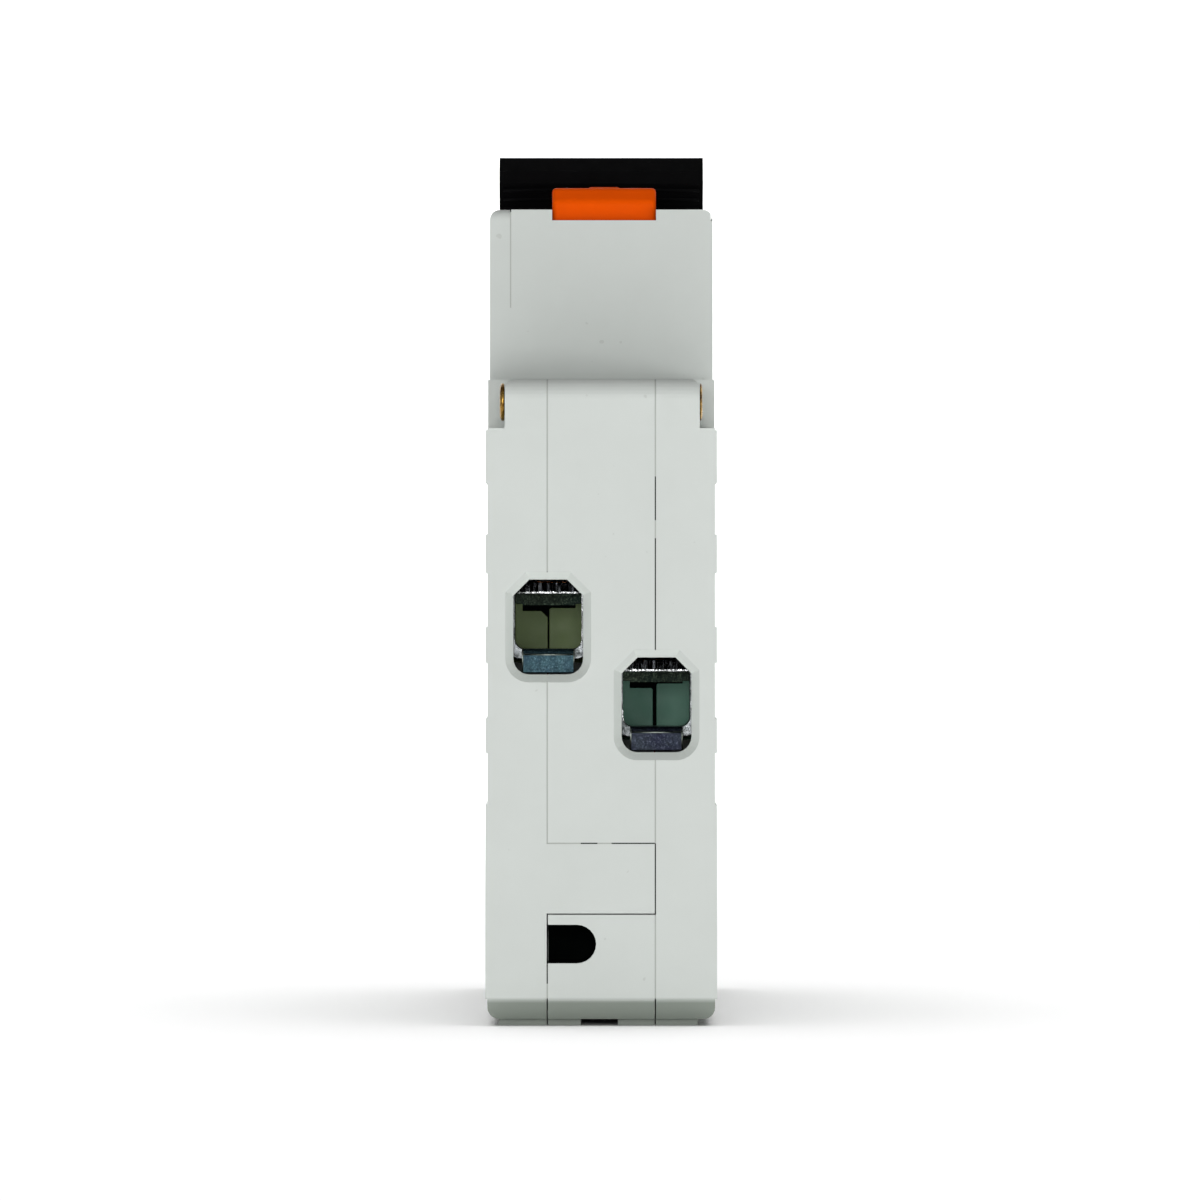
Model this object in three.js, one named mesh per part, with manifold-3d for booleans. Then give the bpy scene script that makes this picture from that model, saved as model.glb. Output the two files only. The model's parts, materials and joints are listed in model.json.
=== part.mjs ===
// One-module residual-current circuit breaker for a 35 mm mounting rail, with everything inside it.
// Millimetres. X runs across the module, Y along the device from the load end to the supply end,
// and Z from the rail to the toggle. The origin is the middle of the face that sits on the rail.
import * as THREE from "three";
import { mergeVertices } from "three/addons/utils/BufferGeometryUtils.js";
import Module from "manifold-3d";

const wasm = await Module();
wasm.setup();

// ---------------------------------------------------------------- driving dimensions

// Housing
const WIDTH = 17.7; // over both covers, without their ribs
const LENGTH = 83;
const NOSE_LENGTH = 45;
const BACK_Z = -5.8;
const SHOULDER_Z = 44;
const NOSE_Z = 57.8;
const WALL = 1.5; // end, front and back walls
const SIDE_WALL = 1.2;
const WEB = 1.2; // partition between the two poles
const FRAME_WIDTH = 8.4; // middle layer of the housing
const SEAM = 0.1; // gap between two mouldings
const GAP = 0.3; // gap between an inner piece and what it rests on
const BACK_CHAMFER = 1.6;
const BACK_RADIUS = 0.9; // of the back edges along the sides
const SHOULDER_RADIUS = 1.5;
const NOSE_RADIUS = 0.8;
const RIB_HEIGHT = 0.15;
const RIB_BANDS = [[-4.2, 10.9], [14.9, 17.6], [21.9, 24.7], [28.9, 31.9], [35.9, 40]];
const PAD_HEIGHT = 0.5; // pads that the device stands on
const PAD_RANGE = [2.5, 17.5]; // from the end face
const NOSE_SEAM_LEFT = 1.7; // thickness of the left cover's cheek on the nose
const NOSE_EDGE_RIGHT = 0.15; // set back of the nose walls from the right side
const CLIP_TOP = 2.4; // top of the clip's channel
const TONGUE_TOP = 7.9; // top of the left cover's tongue, above the clip

// Mounting rail
const RAIL_WIDTH = 35;
const RAIL_PLAY = 0.3; // on each edge
const RAIL_FLANGE = 1;
const FLANGE_PLAY = 0.4;
const HOOK_REACH = 2.4;
const SEAT_RELIEF = 0.3; // the seat steps back this far beside each hook

// Rail clip
const CLIP_TRAVEL = 4;
const CLIP_SLOT_WIDTH = 3;
const CLIP_SLOT_REACH = 3.75; // from the left side of the clip
const CLIP_SLOT_DEPTH = 6;
const CLIP_SLOT_Z = 0.075;
const SPRING_LENGTH = 8.6;
const SPRING_RADIUS = 1.05;

// Terminals
const END_TO_SCREW = 6.5; // from the end face to the screw's axis
const LINE_BAR_Z = 27.3; // underside of the line terminals' bars
const NEUTRAL_BAR_Z = 21.25;
const NEUTRAL_SHIFT = 0.17; // neutral terminals' offset from the middle of their pole
const BAR_WIDTH = 4.9;
const BAR_THICKNESS = 0.85;
const CAGE_PLAY = 0.27; // beside each cage
const CAGE_WALL = 0.65;
const CAGE_DEPTH = 7.2;
const CAGE_OPENING = 4.3; // wire space below the bar
const CAGE_TRAVEL = 4;
const CAGE_ROOF = 1.5;
const LIP_WIDTH = 4.1;
const LIP_DROP = 1.9;
const SCREW_RADIUS = 1.75;
const SCREW_PLAY = 0.2;
const SCREW_HEAD = 2.4;
const SHANK_LENGTH = 8.8;
const HEAD_PLAY = 0.3; // around a screw's head in its well
const WELL_WALL = 0.43;
const SHELF = 1.3; // ledge under a screw's head
const BACK_WALL = 1; // behind each cage
const BAR_SLOT_PLAY = 0.35; // around a bar, where it goes through that wall
const ENTRY_WIDTH = 5.45;
const ENTRY_ABOVE = 1.1; // above the bar's underside
const ENTRY_BELOW = 6.3;
const ENTRY_CORNER = 1.25;
const ENTRY_FLARE = 0.6;

// Rivets
const RIVET_RADIUS = 1;
const RIVET_HEAD_RADIUS = 1.475;
const RIVET_HEAD = 0.36;
const RIVET_PLAY = 0.12;
const RIVET_FROM_END = 1.9;
const RIVET_Z = 42.2;
const NOTCH_LEFT = 1.35; // depth of the rivet notch into the side
const NOTCH_RIGHT = 1.2;
const NOTCH_Z = 40.15;
const NOTCH_LENGTH = 5.2;
const NOTCH_RADIUS = 0.8; // on the shoulder's corner beside each notch

// Toggle
const TOGGLE_Z = 51; // pivot
const TOGGLE_LEAN = 40; // degrees from the front direction, each way
const TOGGLE_WIDTH = 16.4;
const TOGGLE_THICKNESS = 4.4;
const TOGGLE_REACH = 14.2;
const LEVER_PLAY = 0.6; // beside the lever, in the nose's front
const DRUM_RADIUS = 6.4;
const DRUM_WALL = 1.2;
const DRUM_SPREAD = 106; // degrees each way from the lever
const HUB_RADIUS = 3.4;
const PIN_RADIUS = 1;
const PIN_PLAY = 0.1;
const CRANK_REACH = 4.5;

// Contacts and latch, on one shaft
const SHAFT_Y = -1;
const SHAFT_Z = 29;
const CONTACT_SPRING_RADIUS = 1.35; // clear of the trip lever at the end of its swing
const SPRING_WIRE_RADIUS = 0.22;
const ARM_LENGTH = 14.5;
const ARM_SWING = 22; // degrees between open and closed
const CONTACT_RADIUS = 1.3;
const FIXED_CONTACT_Y = 7.5;
const LATCH_LENGTH = 9;
const LINK_SLOT = 2; // lost motion between link and latch
const PLATE = 0.8; // sheet metal

// Magnetic release, thermal release and arc chute
const COIL_Z = 33;
const COIL_FROM = 8.6;
const COIL_TO = 22;
const COIL_PLAY = 0.525; // beside the coil
const COIL_TURNS = 7;
const PLUNGER_RADIUS = 1.1;
const YOKE_DROP = 2.4; // below the coil's axis
const YOKE_PLAY = 0.925; // beside the yoke
const BIMETAL_Y = -20.6;
const BIMETAL_Z = 12;
const BIMETAL_LENGTH = 26;
const TRIP_Y = -8;
const TRIP_Z = 35;
const CHUTE_FROM = 9.5;
const CHUTE_TO = 23;
const CHUTE_TOP = 20.5;
const CHUTE_PLATES = 8;

// Residual current electronics
const STRIP_PLAY = 1.825; // beside the strips
const BOARD_THICKNESS = 1;
const RELAY_WIDTH = 4.8;
const TOROID_RADIUS = 5.4;
const TOROID_BORE = 2.3;
const TOROID_Y = -13;
const TOROID_Z = 8.4;

// Test button
const BUTTON_WIDTH = 8.25;
const BUTTON_X = 0.225; // middle
const BUTTON_TOP = 59.6;
const BUTTON_LENGTH = 6.4;
const BUTTON_PLAY = 0.25;
const BUTTON_TRAVEL = 1.2;
const BUTTON_SILL = 0.85; // notch below the nose's front
const THIN_WALL = 0.9; // end wall in front of the button
const BUTTON_SHELF_Z = 47;

// ---------------------------------------------------------------- derived places

const sideX = WIDTH / 2;
const innerX = sideX - SIDE_WALL;
const webX = WEB / 2;
const frameX = FRAME_WIDTH / 2;
const endY = LENGTH / 2;
const noseY = NOSE_LENGTH / 2;
const innerEndY = endY - WALL;
const poleWidth = innerX - webX;
const poleX = (innerX + webX) / 2;
const screwY = endY - END_TO_SCREW;
const backWallY = screwY - CAGE_DEPTH / 2 - GAP; // face of the wall behind a cage
const barInward = CAGE_DEPTH / 2 + GAP + BACK_WALL + 0.6;
const railY = RAIL_WIDTH / 2 + RAIL_PLAY;
const hookY = railY - HOOK_REACH;
const hookZ = -(RAIL_FLANGE + FLANGE_PLAY);
const seatY = hookY - SEAT_RELIEF;
const cageWidth = poleWidth - 2 * CAGE_PLAY;
const wellRadius = poleWidth / 2 - WELL_WALL;
const headRadius = wellRadius - HEAD_PLAY;
const wellFloor = BAR_THICKNESS + GAP / 3 + SHANK_LENGTH; // above a bar's underside
const channelEndY = railY + WALL;
const buttonBack = -noseY + THIN_WALL + BUTTON_PLAY + BUTTON_LENGTH;
const buttonFront = -noseY + THIN_WALL + BUTTON_PLAY;
const boardX = innerX - GAP - BOARD_THICKNESS;
const lean = THREE.MathUtils.degToRad(TOGGLE_LEAN);
const coilRadius = poleWidth / 2 - COIL_PLAY;
const bobbinRadius = PLUNGER_RADIUS + 0.7;
const yokeBottom = COIL_Z - YOKE_DROP;
const stripX = [-poleX - poleWidth / 2 + STRIP_PLAY, -poleX + poleWidth / 2 - STRIP_PLAY];
const relayX = boardX - RELAY_WIDTH / 2 - 0.25;
const againstBoard = boardX - GAP / 3;
const contactZ = SHAFT_Z - ARM_LENGTH; // of a closed contact
const crankPivot = [CRANK_REACH * Math.sin(lean), TOGGLE_Z - CRANK_REACH * Math.cos(lean)]; // (y, z)
const latchPivot = [SHAFT_Y + 1.5, SHAFT_Z + LATCH_LENGTH];
const mouthY = leverSideY(NOSE_Z - TOGGLE_Z) + LEVER_PLAY; // half the opening for the lever

const TERMINALS = [
  { name: "load_line", x: -poleX, end: -1, z: LINE_BAR_Z },
  { name: "load_neutral", x: poleX + NEUTRAL_SHIFT, end: -1, z: NEUTRAL_BAR_Z },
  { name: "supply_line", x: -poleX, end: 1, z: LINE_BAR_Z },
  { name: "supply_neutral", x: poleX + NEUTRAL_SHIFT, end: 1, z: NEUTRAL_BAR_Z },
];

const RIVETS = [
  { name: "rivet_load_shoulder", y: -(endY - RIVET_FROM_END), z: RIVET_Z, notched: true },
  { name: "rivet_supply_shoulder", y: endY - RIVET_FROM_END, z: RIVET_Z, notched: true },
  { name: "rivet_load_back", y: -34, z: (CLIP_TOP + TONGUE_TOP) / 2, notched: false },
  { name: "rivet_supply_back", y: 34, z: (CLIP_TOP + TONGUE_TOP) / 2, notched: false },
  { name: "rivet_load_nose", y: -12, z: 46.8, notched: false },
  { name: "rivet_supply_nose", y: 17.3, z: 48.8, notched: false },
];

// How far the lever's side lies from the pivot at full lean, at a height above the pivot.
function leverSideY(height) {
  const half = TOGGLE_THICKNESS / 2;
  return (height + half * Math.sin(lean)) * Math.tan(lean) + half * Math.cos(lean);
}

// ---------------------------------------------------------------- materials

const colours = {
  housing: { color: 0xcdd2ce, roughness: 0.55, metalness: 0 },
  black: { color: 0x0c0c0d, roughness: 0.5, metalness: 0 },
  orange: { color: 0xe45401, roughness: 0.45, metalness: 0 },
  brass: { color: 0xc8a050, roughness: 0.3, metalness: 1 },
  zinc: { color: 0xb4b8bc, roughness: 0.35, metalness: 1 },
  steel: { color: 0x9a9da0, roughness: 0.35, metalness: 1 },
  copper: { color: 0xb87343, roughness: 0.4, metalness: 1 },
  inner: { color: 0x59685a, roughness: 0.7, metalness: 0 },
  board: { color: 0x1f6b3a, roughness: 0.5, metalness: 0 },
  ferrite: { color: 0x3a3d42, roughness: 0.7, metalness: 0 },
  blue: { color: 0x1c4fa0, roughness: 0.4, metalness: 0 },
};

// ---------------------------------------------------------------- solids

function solidOf(geometry) {
  const bare = geometry.clone();
  bare.deleteAttribute("normal");
  bare.deleteAttribute("uv");
  const merged = mergeVertices(bare, 1e-4);
  return new wasm.Manifold(
    new wasm.Mesh({
      numProp: 3,
      vertProperties: merged.attributes.position.array,
      triVerts: new Uint32Array(merged.index.array),
    }),
  );
}

function geometryOf(solid) {
  const mesh = solid.getMesh();
  const geometry = new THREE.BufferGeometry();
  geometry.setAttribute("position", new THREE.BufferAttribute(mesh.vertProperties, 3));
  geometry.setIndex(new THREE.BufferAttribute(mesh.triVerts, 1));
  const faceted = geometry.toNonIndexed();
  faceted.computeVertexNormals();
  return faceted;
}

function box([x0, x1], [y0, y1], [z0, z1]) {
  const geometry = new THREE.BoxGeometry(x1 - x0, y1 - y0, z1 - z0);
  geometry.translate((x0 + x1) / 2, (y0 + y1) / 2, (z0 + z1) / 2);
  return solidOf(geometry);
}

// A profile's two coordinates are (y, z) along x, (x, z) along y and (x, y) along z.
const [unitX, unitY, unitZ] = [
  new THREE.Vector3(1, 0, 0),
  new THREE.Vector3(0, 1, 0),
  new THREE.Vector3(0, 0, 1),
];
const frames = {
  x: new THREE.Matrix4().makeBasis(unitY, unitZ, unitX),
  y: new THREE.Matrix4().makeBasis(unitX, unitZ, unitY.clone().negate()),
  z: new THREE.Matrix4(),
};

function place(geometry, axis, from, to) {
  geometry.applyMatrix4(frames[axis]);
  const start = axis === "y" ? to : from;
  geometry.translate(axis === "x" ? start : 0, axis === "y" ? start : 0, axis === "z" ? start : 0);
  return solidOf(geometry);
}

function prism(axis, shape, [from, to], curveSegments = 5) {
  const options = { depth: to - from, bevelEnabled: false, curveSegments };
  return place(new THREE.ExtrudeGeometry(shape, options), axis, from, to);
}

function cylinder(axis, [a, b], radius, [from, to], sides = 16) {
  const shape = new THREE.Shape();
  for (let i = 0; i < sides; i += 1) {
    const angle = (2 * Math.PI * i) / sides;
    const corner = [a + radius * Math.cos(angle), b + radius * Math.sin(angle)];
    if (i === 0) shape.moveTo(...corner);
    else shape.lineTo(...corner);
  }
  return prism(axis, shape, [from, to]);
}

function outlineOf(points) {
  return new THREE.Shape(points.map(([a, b]) => new THREE.Vector2(a, b)));
}

function join(solids) {
  return solids.reduce((sum, solid) => sum.add(solid));
}

function cut(solid, tools) {
  return tools.reduce((rest, tool) => rest.subtract(tool), solid);
}

// A round wire or winding along a curve.
function wire(curve, radius, steps, sides = 8) {
  const section = new THREE.Shape();
  section.absarc(0, 0, radius, 0, 2 * Math.PI, false);
  const options = { steps, extrudePath: curve, bevelEnabled: false, curveSegments: sides / 2 };
  const solid = solidOf(new THREE.ExtrudeGeometry(section, options));
  return solid;
}

class Helix extends THREE.Curve {
  constructor(centre, axis, radius, length, turns) {
    super();
    Object.assign(this, { centre, axis, radius, length, turns });
  }

  getPoint(t, target = new THREE.Vector3()) {
    const angle = 2 * Math.PI * this.turns * t;
    const along = this.length * t;
    const u = this.radius * Math.cos(angle);
    const v = this.radius * Math.sin(angle);
    const offset = { x: [along, u, v], y: [v, along, u], z: [u, v, along] }[this.axis];
    return target.set(...offset).add(this.centre);
  }
}

function coil(centre, axis, radius, length, turns, wireRadius, stepsPerTurn = 8, sides = 4) {
  const curve = new Helix(new THREE.Vector3(...centre), axis, radius, length, turns);
  return wire(curve, wireRadius, Math.round(turns * stepsPerTurn), sides);
}

// ---------------------------------------------------------------- housing

// The outline of all three layers, seen from the side.
function housingOutline() {
  const shape = new THREE.Shape();
  const r = SHOULDER_RADIUS;
  const n = NOSE_RADIUS;
  shape.moveTo(-endY, BACK_Z + BACK_CHAMFER);
  shape.lineTo(-endY + BACK_CHAMFER, BACK_Z);
  shape.lineTo(-railY, BACK_Z);
  shape.lineTo(-railY, SEAT_RELIEF);
  shape.lineTo(-seatY, SEAT_RELIEF);
  shape.lineTo(-seatY, 0);
  shape.lineTo(seatY, 0);
  shape.lineTo(seatY, SEAT_RELIEF);
  shape.lineTo(railY, SEAT_RELIEF);
  shape.lineTo(railY, hookZ);
  shape.lineTo(hookY, hookZ);
  shape.lineTo(hookY, BACK_Z);
  shape.lineTo(endY - BACK_CHAMFER, BACK_Z);
  shape.lineTo(endY, BACK_Z + BACK_CHAMFER);
  shape.absarc(endY - r, SHOULDER_Z - r, r, 0, Math.PI / 2, false);
  shape.lineTo(noseY, SHOULDER_Z);
  shape.absarc(noseY - n, NOSE_Z - n, n, 0, Math.PI / 2, false);
  shape.absarc(-noseY + n, NOSE_Z - n, n, Math.PI / 2, Math.PI, false);
  shape.lineTo(-noseY, SHOULDER_Z);
  shape.absarc(-endY + r, SHOULDER_Z - r, r, Math.PI / 2, Math.PI, false);
  return shape;
}

function layer([x0, x1]) {
  return prism("x", housingOutline(), [x0, x1], 4);
}

// The room for one pole's works, between two planes across the module.
function chamber(xs) {
  return join([
    box(xs, [-innerEndY, innerEndY], [TONGUE_TOP + SEAM / 2 + WALL, SHOULDER_Z - WALL]),
    box(xs, [-channelEndY, innerEndY], [WALL, TONGUE_TOP + 2 * WALL]),
    box(xs, [channelEndY, innerEndY], [BACK_Z + WALL, 2 * WALL]),
    box(xs, [-noseY + WALL, noseY - WALL], [SHOULDER_Z - 2 * WALL, NOSE_Z - WALL]),
  ]);
}

function sorted(a, b) {
  return a < b ? [a, b] : [b, a];
}

// One terminal's pocket, between two planes: the block around its screw, with the well and the
// ledge that keeps the head, and the wall behind the cage, with a slot for the bar.
function terminalPocket({ x, end, z }, [x0, x1]) {
  const toLeft = [Math.max(x0, -innerX - SEAM), Math.min(x1, 0)];
  const toRight = [Math.max(x0, 0), Math.min(x1, innerX + SEAM)];
  const xs = x < 0 ? toLeft : toRight;
  const block = box(xs, sorted(end * (backWallY - BACK_WALL), end * innerEndY), [
    z + wellFloor - SHELF,
    SHOULDER_Z - WALL / 2,
  ]);
  const wallYs = sorted(end * (backWallY - BACK_WALL), end * backWallY);
  const half = BAR_WIDTH / 2 + BAR_SLOT_PLAY / 2;
  const wall = box(xs, wallYs, [TONGUE_TOP + WALL / 2, SHOULDER_Z - WALL / 2]);
  const slotZ = [z - BAR_SLOT_PLAY, z + BAR_THICKNESS + GAP];
  const slot = box([x - half, x + half], [wallYs[0] - 1, wallYs[1] + 1], slotZ);
  return block.add(wall.subtract(slot));
}

function screwHoles({ x, end, z }) {
  const centre = [x, end * screwY];
  const top = SHOULDER_Z + 1;
  return join([
    cylinder("z", centre, wellRadius, [z + wellFloor - SEAM, top], 24),
    cylinder("z", centre, SCREW_RADIUS + SCREW_PLAY, [z, top]),
  ]);
}

// The wire entry: straight sides, cut top corners, round bottom corners.
function entryShape({ x, z }) {
  const half = ENTRY_WIDTH / 2;
  const top = z + ENTRY_ABOVE;
  const bottom = z - ENTRY_BELOW;
  const c = ENTRY_CORNER;
  const shape = new THREE.Shape();
  shape.moveTo(x + half, bottom + c);
  shape.lineTo(x + half, top - c);
  shape.lineTo(x + half - c, top);
  shape.lineTo(x - half + c, top);
  shape.lineTo(x - half, top - c);
  shape.lineTo(x - half, bottom + c);
  shape.absarc(x - half + c, bottom + c, c, Math.PI, 1.5 * Math.PI, false);
  shape.absarc(x + half - c, bottom + c, c, 1.5 * Math.PI, 2 * Math.PI, false);
  return shape;
}

function wireEntry(terminal) {
  const shape = entryShape(terminal);
  const [near, far] = [innerEndY - 1, endY + 1];
  const through = prism("y", shape, terminal.end < 0 ? [-far, -near] : [near, far], 4);
  const depth = 3;
  const flare = new THREE.ExtrudeGeometry(shape, {
    depth,
    bevelEnabled: true,
    bevelThickness: ENTRY_FLARE,
    bevelSize: ENTRY_FLARE,
    bevelSegments: 1,
    curveSegments: 4,
  });
  const start = terminal.end < 0 ? -endY : endY + depth;
  return through.add(place(flare, "y", start, start));
}

// The notch at a shoulder's corner that shows a rivet's head.
function rivetNotches() {
  const notches = [];
  for (const end of [-1, 1]) {
    const ys = sorted(end * (endY - NOTCH_LENGTH), end * (endY + 1));
    notches.push(box([-sideX - 1, -sideX + NOTCH_LEFT], ys, [NOTCH_Z, SHOULDER_Z + 1]));
    notches.push(box([sideX - NOTCH_RIGHT, sideX + 1], ys, [NOTCH_Z, SHOULDER_Z + 1]));
  }
  return notches;
}

// Seats of a rivet's two heads: [left, right].
function rivetSeats({ notched }) {
  const recess = 0.8;
  return notched ? [-sideX + NOTCH_LEFT, sideX - NOTCH_RIGHT] : [-sideX + recess, sideX - recess];
}

function rivetHoles() {
  return RIVETS.flatMap((rivet) => {
    const centre = [rivet.y, rivet.z];
    const [left, right] = rivetSeats(rivet);
    const hole = cylinder("x", centre, RIVET_RADIUS + RIVET_PLAY, [-sideX - 1, sideX + 1], 16);
    if (rivet.notched) return [hole];
    const recessRadius = RIVET_HEAD_RADIUS + 0.35;
    return [
      hole,
      cylinder("x", centre, recessRadius, [-sideX - 1, left], 20),
      cylinder("x", centre, recessRadius, [right, sideX + 1], 20),
    ];
  });
}

// Bosses around the rivets that cross the chambers, between two planes.
function rivetBosses([x0, x1]) {
  const corner = [endY - NOTCH_LENGTH + 1.5, innerEndY + WALL / 2];
  const bosses = RIVETS.filter((rivet) => !rivet.notched).map((rivet) =>
    cylinder("x", [rivet.y, rivet.z], RIVET_RADIUS + 1.2, [x0, x1], 16),
  );
  for (const end of [-1, 1]) {
    const ys = sorted(end * corner[0], end * corner[1]);
    bosses.push(box([x0, x1], ys, [NOTCH_Z - 0.6, SHOULDER_Z - WALL / 2]));
  }
  return bosses;
}

// Rounds an outer edge that runs along Y, at a distance from the middle.
function edgeRounder(side, edgeX, z, radius, towards, [y0, y1]) {
  const cx = side * (edgeX - radius);
  const cz = z - towards * radius;
  const xs = sorted(cx, side * (edgeX + 1));
  const zs = sorted(cz, z + towards);
  return box(xs, [y0, y1], zs).subtract(cylinder("y", [cx, cz], radius, [y0 - 1, y1 + 1], 24));
}

function roundedEdges() {
  const notchYs = [-1, 1].map((end) => sorted(end * (endY - NOTCH_LENGTH), end * (endY + 1)));
  return [-1, 1].flatMap((side) => [
    edgeRounder(side, sideX, NOSE_Z, NOSE_RADIUS, 1, [-noseY - 1, noseY + 1]),
    edgeRounder(side, sideX, BACK_Z, BACK_RADIUS, -1, [-endY - 1, endY + 1]),
    ...notchYs.map((ys) =>
      edgeRounder(side, sideX - (side < 0 ? NOTCH_LEFT : NOTCH_RIGHT), SHOULDER_Z, NOTCH_RADIUS, 1, ys),
    ),
  ]);
}

// Raised bands along a side, within the outline.
function ribs(side) {
  const xs = sorted(side * (sideX - SIDE_WALL / 2), side * (sideX + RIB_HEIGHT));
  const bands = RIB_BANDS.map((band) => box(xs, [-endY, endY], band));
  return join(bands).intersect(layer([xs[0] - 1, xs[1] + 1]));
}

function pads([x0, x1], ends) {
  const [near, far] = PAD_RANGE;
  return ends.map((end) => {
    const ys = sorted(end * (endY - near), end * (endY - far));
    return box([x0, x1], ys, [BACK_Z - PAD_HEIGHT, BACK_Z + WALL / 2]);
  });
}

function buttonWindow() {
  const half = BUTTON_WIDTH / 2 + BUTTON_PLAY;
  const ys = [buttonFront - BUTTON_PLAY, buttonBack + BUTTON_PLAY];
  return join([
    box([BUTTON_X - half, BUTTON_X + half], ys, [BUTTON_SHELF_Z, NOSE_Z + 1]),
    box(
      [BUTTON_X - BUTTON_WIDTH / 2, BUTTON_X + BUTTON_WIDTH / 2],
      [-noseY - 1, ys[1]],
      [NOSE_Z - BUTTON_SILL, NOSE_Z + 1],
    ),
  ]);
}

// The nose's walls, which reach from the left cheek to the right side.
function noseShell(slack) {
  const outer = box(
    [-sideX + NOSE_SEAM_LEFT - slack, sideX - NOSE_EDGE_RIGHT + slack],
    [-noseY - slack, noseY + slack],
    [SHOULDER_Z + SEAM - slack, NOSE_Z + slack],
  );
  const inside = box(
    [-sideX, sideX],
    [-noseY + WALL + slack, noseY - WALL - slack],
    [SHOULDER_Z - 1, NOSE_Z - WALL - slack],
  );
  return outer.subtract(inside);
}

// The funnel in the nose's front that the toggle swings in.
function toggleGuards(xs) {
  const mouth = mouthY;
  const throat = Math.max(DRUM_RADIUS + 0.2, leverSideY(3.6) + GAP);
  const points = [
    [mouth, NOSE_Z - WALL],
    [throat, TOGGLE_Z + 3.6],
    [throat + 0.3, TOGGLE_Z + 0.8],
    [throat + 1.8, TOGGLE_Z + 0.8],
    [throat + 1.8, TOGGLE_Z + 3],
    [mouth + 2, NOSE_Z - WALL],
    [mouth + 2, NOSE_Z - WALL / 2],
    [mouth, NOSE_Z - WALL / 2],
  ];
  const right = prism("x", outlineOf(points), xs);
  const left = prism("x", outlineOf(points.map(([y, z]) => [-y, z]).reverse()), xs);
  return [right, left];
}

function makeLeftCover() {
  const xs = [-sideX, -frameX - SEAM / 2];
  const inner = [-innerX, -frameX + 1];
  const shell = cut(layer(xs), [chamber(inner)]);
  const tongue = box(
    [xs[0] + SIDE_WALL / 2, frameX - SEAM / 2],
    [-endY, -channelEndY - SEAM],
    [CLIP_TOP + SEAM / 2, TONGUE_TOP - SEAM / 2],
  );
  const pegTop = CLIP_TOP + WALL;
  const peg = box([0.7, 3.1], [clipPegY() - 1.5, clipPegY()], [-1, pegTop]);
  const rail = box([xs[1] - 1, -frameX + 0.6], clipRailY(), [-3.4, -2.4]);
  const blocks = TERMINALS.filter(({ x }) => x < 0).map((t) => terminalPocket(t, xs));
  const bosses = rivetBosses([-innerX - SIDE_WALL / 2, xs[1]]);
  const body = join([shell, tongue, peg, rail, ...blocks, ...bosses, ribs(-1)]);
  const standing = join([body, ...pads([-8, xs[1]], [-1, 1])]);
  const tools = [
    box([-sideX + NOSE_SEAM_LEFT - SEAM, sideX], [-noseY - 1, noseY + 1], [SHOULDER_Z, NOSE_Z + 1]),
    box([-innerX, sideX], [-mouthY, mouthY], [SHOULDER_Z, NOSE_Z + 1]),
    ...TERMINALS.filter(({ x }) => x < 0).map(screwHoles),
    ...TERMINALS.filter(({ x }) => x < 0).map(wireEntry),
    ...rivetNotches(),
    ...rivetHoles(),
    ...roundedEdges(),
  ];
  return cut(standing, tools);
}

function makeRightCover() {
  const xs = [frameX + SEAM / 2, sideX];
  const inner = [frameX - 1, innerX];
  const shell = cut(layer(xs), [chamber(inner)]);
  const rail = box([frameX - 0.6, xs[0] + 1], clipRailY(), [-3.4, -2.4]);
  const blocks = TERMINALS.filter(({ x }) => x > 0).map((t) => terminalPocket(t, xs));
  const bosses = rivetBosses([xs[0], innerX + SIDE_WALL / 2]);
  const body = join([shell, rail, ...blocks, ...bosses, ribs(1)]);
  const standing = join([body, ...pads([xs[0], 7.5], [-1, 1])]);
  const tools = [
    noseShell(SEAM),
    ...TERMINALS.filter(({ x }) => x > 0).map(screwHoles),
    ...TERMINALS.filter(({ x }) => x > 0).map(wireEntry),
    ...rivetNotches(),
    ...rivetHoles(),
    ...roundedEdges(),
  ];
  return cut(standing, tools);
}

// Openings in the partition: toggle and button, contact shaft, trip bar, and the sensor's bore.
function webWindows() {
  const xs = [-webX - 0.1, webX + 0.1];
  return [
    box(xs, [-noseY + WALL, 14], [BUTTON_SHELF_Z, NOSE_Z - WALL]),
    box(xs, [-9.5, 14], [SHOULDER_Z, NOSE_Z - WALL]),
    box(xs, [SHAFT_Y - 2, SHAFT_Y + 2.8], [SHAFT_Z + 1.9, SHAFT_Z + 6]),
    cylinder("x", [SHAFT_Y, SHAFT_Z], PIN_RADIUS + PIN_PLAY, xs, 16),
  ];
}

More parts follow.
